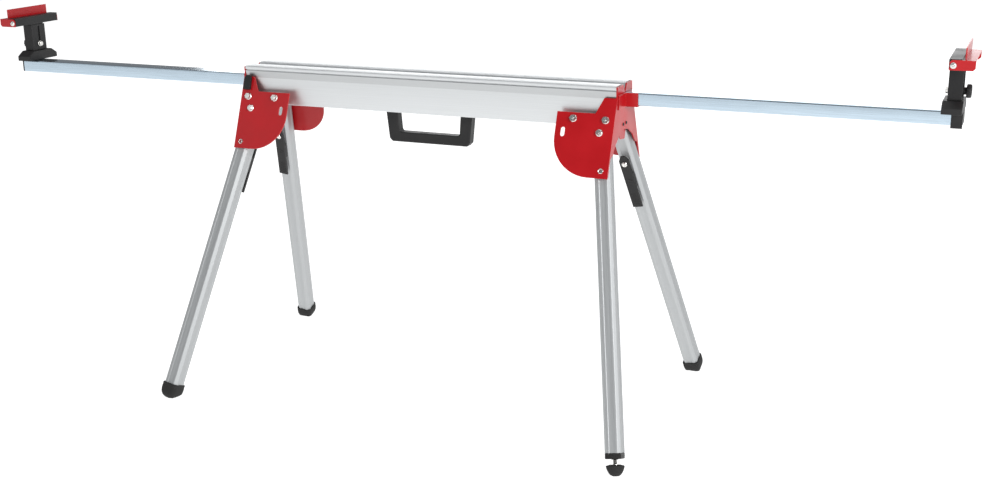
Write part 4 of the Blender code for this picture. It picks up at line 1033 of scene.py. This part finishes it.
@dataclass
class ArmEnd:
    """An extension arm with its guide, its lock and the work support at its end."""

    shop: Workshop
    side: Side
    wall: float = 1.6 * MM
    corner_radius: float = 3.2 * MM

    @property
    def tag(self) -> str:
        """The end's name."""
        return self.side.name.lower()

    def arm(self) -> None:
        """The rounded rectangular tube, and the glide in its inner end."""
        low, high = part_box(f"extension_arm_{self.tag}")
        size = (high.y - low.y, high.z - low.z)
        centre = ((high.y + low.y) / 2, (high.z + low.z) / 2)
        outer = softened(rectangle(*size, centre), self.corner_radius, 5)
        inner = softened(rectangle(size[0] - 2 * self.wall, size[1] - 2 * self.wall, centre),
                         self.corner_radius - self.wall / 2, 5)
        count = len(outer)
        surface = tube(outer, inner, np.full(count, low.x), np.full(count, high.x)).placed(along_x())
        body = f"arm_{self.tag}"
        self.shop.add(f"arm_tube_{self.tag}", surface, "zinc", body, (f"extension_arm_{self.tag}",))
        self.shop.refine(f"arm_glide_{self.tag}", "plastic", body, 0.8 * MM, along_x())

    def guide(self) -> None:
        """The sheet-metal cradle and the arm's lock lever."""
        self.shop.refine(f"arm_guide_{self.tag}", "red", "stand", 0.6 * MM, along_x())
        low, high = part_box(f"arm_lock_lever_{self.tag}")
        self.shop.refine(f"arm_lock_lever_{self.tag}", "plastic", f"arm_lock_{self.tag}", 1.6 * MM,
                         Matrix.Translation((low + high) / 2), segments=3)

    def support(self) -> None:
        """The moulded base, the upright, the sliding post and the flip stop."""
        turn = end_turn(self.side)
        for part, finish, body, edge, segments in (
                ("support_base", "plastic", "arm", 1.4, 3), ("support_upright", "black_steel", "arm", 0.6, 2),
                ("support_post", "black_steel", "support", 0.6, 2), ("flip_stop", "red", "stop", 0.7, 2)):
            self.shop.refine(f"{part}_{self.tag}", finish, f"{body}_{self.tag}", edge * MM, turn, segments)

    def hardware(self) -> None:
        """The stop's pivot bolt, the clamp bolt and small screws."""
        post = f"support_{self.tag}"
        low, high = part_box(f"stop_pivot_bolt_{self.tag}")
        centre = (low + high) / 2
        bolt = turned([(3.9 * MM, low.y + 1.0 * MM), (3.9 * MM, high.y - 1.0 * MM)])
        surface = bolt.placed(Matrix.Translation((centre.x, 0.0, centre.z)) @ facing((0, 0, 0), (0, 1, 0)))
        for way, end in ((-1, low.y + 3.0 * MM), (1, high.y - 3.0 * MM)):
            head = SocketScrew().surface().placed(facing((centre.x, end, centre.z), (0, way, 0)))
            surface = surface + head
        self.shop.add(f"stop_bolt_{self.tag}", surface, "bright", post, (f"stop_pivot_bolt_{self.tag}",))
        low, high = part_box(f"height_clamp_bolt_{self.tag}")
        centre = (low + high) / 2
        inner, outer = (low.x, high.x) if self.side is Side.RIGHT else (high.x, low.x)
        way = self.side.value
        shank = threaded(3.9 * MM, 1.0 * MM, abs(outer - inner), 1.25 * MM, 0.5 * MM)
        flipped = hexagonal(12.0 * MM, -2.0 * MM, 4.0 * MM, 1.2 * MM).placed(Matrix.Rotation(math.pi, 4, "X"))
        washer = turned(mm((7.6, 0.8), (8.0, 1.2), (8.0, 2.4)))
        place = facing((inner, centre.y, centre.z), (way, 0.0, 0.0))
        self.shop.add(f"clamp_bolt_{self.tag}", (shank + washer + flipped).placed(place), "bright", post,
                      (f"height_clamp_bolt_{self.tag}",))

    def knob(self) -> None:
        """The fluted knob: its radius is r (1 - 0.035 (1 - cos 12 a)) times a rounded profile."""
        low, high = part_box(f"height_knob_{self.tag}")
        centre = (low + high) / 2
        way = self.side.value
        start = low.x if way > 0 else high.x
        depth = 0.035 * (1.0 - np.cos(12 * angles(96)))
        across, height, share = np.array(KNOB_STEPS).T
        widest, tallest = across.max(), height.max()
        reach = across[:, None] / widest * ((high.z - low.z) / 2) * (1.0 - share[:, None] * depth)
        surface = spun(reach, height / tallest * (high.x - low.x))
        place = facing((start, centre.y, centre.z), (way, 0.0, 0.0))
        self.shop.add(f"knob_grip_{self.tag}", surface.placed(place), "plastic", f"knob_{self.tag}",
                      (f"height_knob_{self.tag}",))

    def build(self) -> None:
        """Make every piece of the end."""
        for step in (self.arm, self.guide, self.support, self.hardware, self.knob):
            step()


# Studio


@dataclass
class Studio:
    """The pale floor, the soft lights and the camera."""

    eye: tuple[float, float, float] = (1.4457, -2.9514, 1.3623)
    azimuth: float = 23.9
    elevation: float = 16.4
    roll: float = -0.9
    lens: float = 47.99
    shift: tuple[float, float] = (0.0099, 0.0004)

    def camera(self) -> None:
        """Point the camera down the azimuth and elevation, with a slight roll."""
        around, up = math.radians(self.azimuth), math.radians(self.elevation)
        onward = Vector((-math.sin(around) * math.cos(up), math.cos(around) * math.cos(up), -math.sin(up)))
        level = onward.cross(Vector((0.0, 0.0, 1.0))).normalized()
        upright = level.cross(onward)
        turn = math.radians(self.roll)
        right = level * math.cos(turn) + upright * math.sin(turn)
        top = upright * math.cos(turn) - level * math.sin(turn)
        data = bpy.data.cameras.new("camera")
        data.lens, data.sensor_width = self.lens, 36.0
        data.shift_x, data.shift_y = self.shift
        data.clip_end = 200.0
        camera = bpy.data.objects.new("camera", data)
        bpy.context.scene.collection.objects.link(camera)
        frame_matrix = Matrix((right, top, -onward)).transposed().to_4x4()
        camera.matrix_world = Matrix.Translation(self.eye) @ frame_matrix
        bpy.context.scene.camera = camera

    def softbox(self, name: str, place: tuple[float, float, float], size: tuple[float, float],
                power: float) -> None:
        """A rectangular lamp that faces the middle of the stand."""
        data = bpy.data.lights.new(name, "AREA")
        data.shape, data.size, data.size_y, data.energy = "RECTANGLE", *size, power
        lamp = bpy.data.objects.new(name, data)
        lamp.location = place
        aim = Vector((0.0, 0.0, 0.6)) - Vector(place)
        lamp.rotation_euler = aim.to_track_quat("-Z", "Y").to_euler()
        bpy.context.scene.collection.objects.link(lamp)

    def lights(self) -> None:
        """A box overhead, one at each front corner and a long card behind, in a dim surrounding."""
        self.softbox("overhead", (0.0, 0.3, 4.2), (5.0, 3.0), 50.0)
        self.softbox("right_front", (4.0, -3.2, 2.8), (2.4, 2.4), 230.0)
        self.softbox("behind", (-1.0, 6.5, 2.1), (8.0, 2.8), 165.0)
        self.softbox("left_front", (-3.6, -3.2, 2.4), (3.0, 2.6), 16.0)
        world = bpy.data.worlds.new("surrounding")
        world.use_nodes = True
        backdrop = world.node_tree.nodes["Background"]
        backdrop.inputs["Color"].default_value = (0.93, 0.96, 1.0, 1.0)
        backdrop.inputs["Strength"].default_value = 0.24
        bpy.context.scene.world = world

    def floor(self) -> None:
        """A wide plain sheet just under the feet."""
        reach = 40.0
        mesh = bpy.data.meshes.new("floor")
        corners = rectangle(2 * reach, 2 * reach)
        mesh.from_pydata(np.column_stack([corners, np.zeros(4)]), [], [[0, 1, 2, 3]])
        surface = bpy.data.materials.new("floor_paint")
        surface.use_nodes = True
        shader = surface.node_tree.nodes["Principled BSDF"]
        shader.inputs["Base Color"].default_value = (0.35, 0.35, 0.35, 1.0)
        shader.inputs["Roughness"].default_value = 0.9
        shader.inputs["Emission Color"].default_value = (1.0, 1.0, 1.0, 1.0)
        shader.inputs["Emission Strength"].default_value = 0.95
        mesh.materials.append(surface)
        sheet = bpy.data.objects.new("floor", mesh)
        bpy.context.scene.collection.objects.link(sheet)

    def build(self) -> None:
        """Set the whole studio."""
        self.camera()
        self.lights()
        self.floor()
        bpy.context.scene.view_settings.view_transform = "Standard"


def main() -> None:
    """Build the studio, the beam, the four corners and the two ends."""
    logging.basicConfig(level=logging.INFO, format="%(message)s")
    Studio().build()
    shop = Workshop(Finishes())
    Beam(shop).build()
    Handle(shop).build()
    for row in Row:
        for side in Side:
            LegCorner(shop, Corner(row, side)).build()
    for side in Side:
        Gusset(shop, side).build()
        ArmEnd(shop, side).build()


if __name__ == "__main__":
    main()
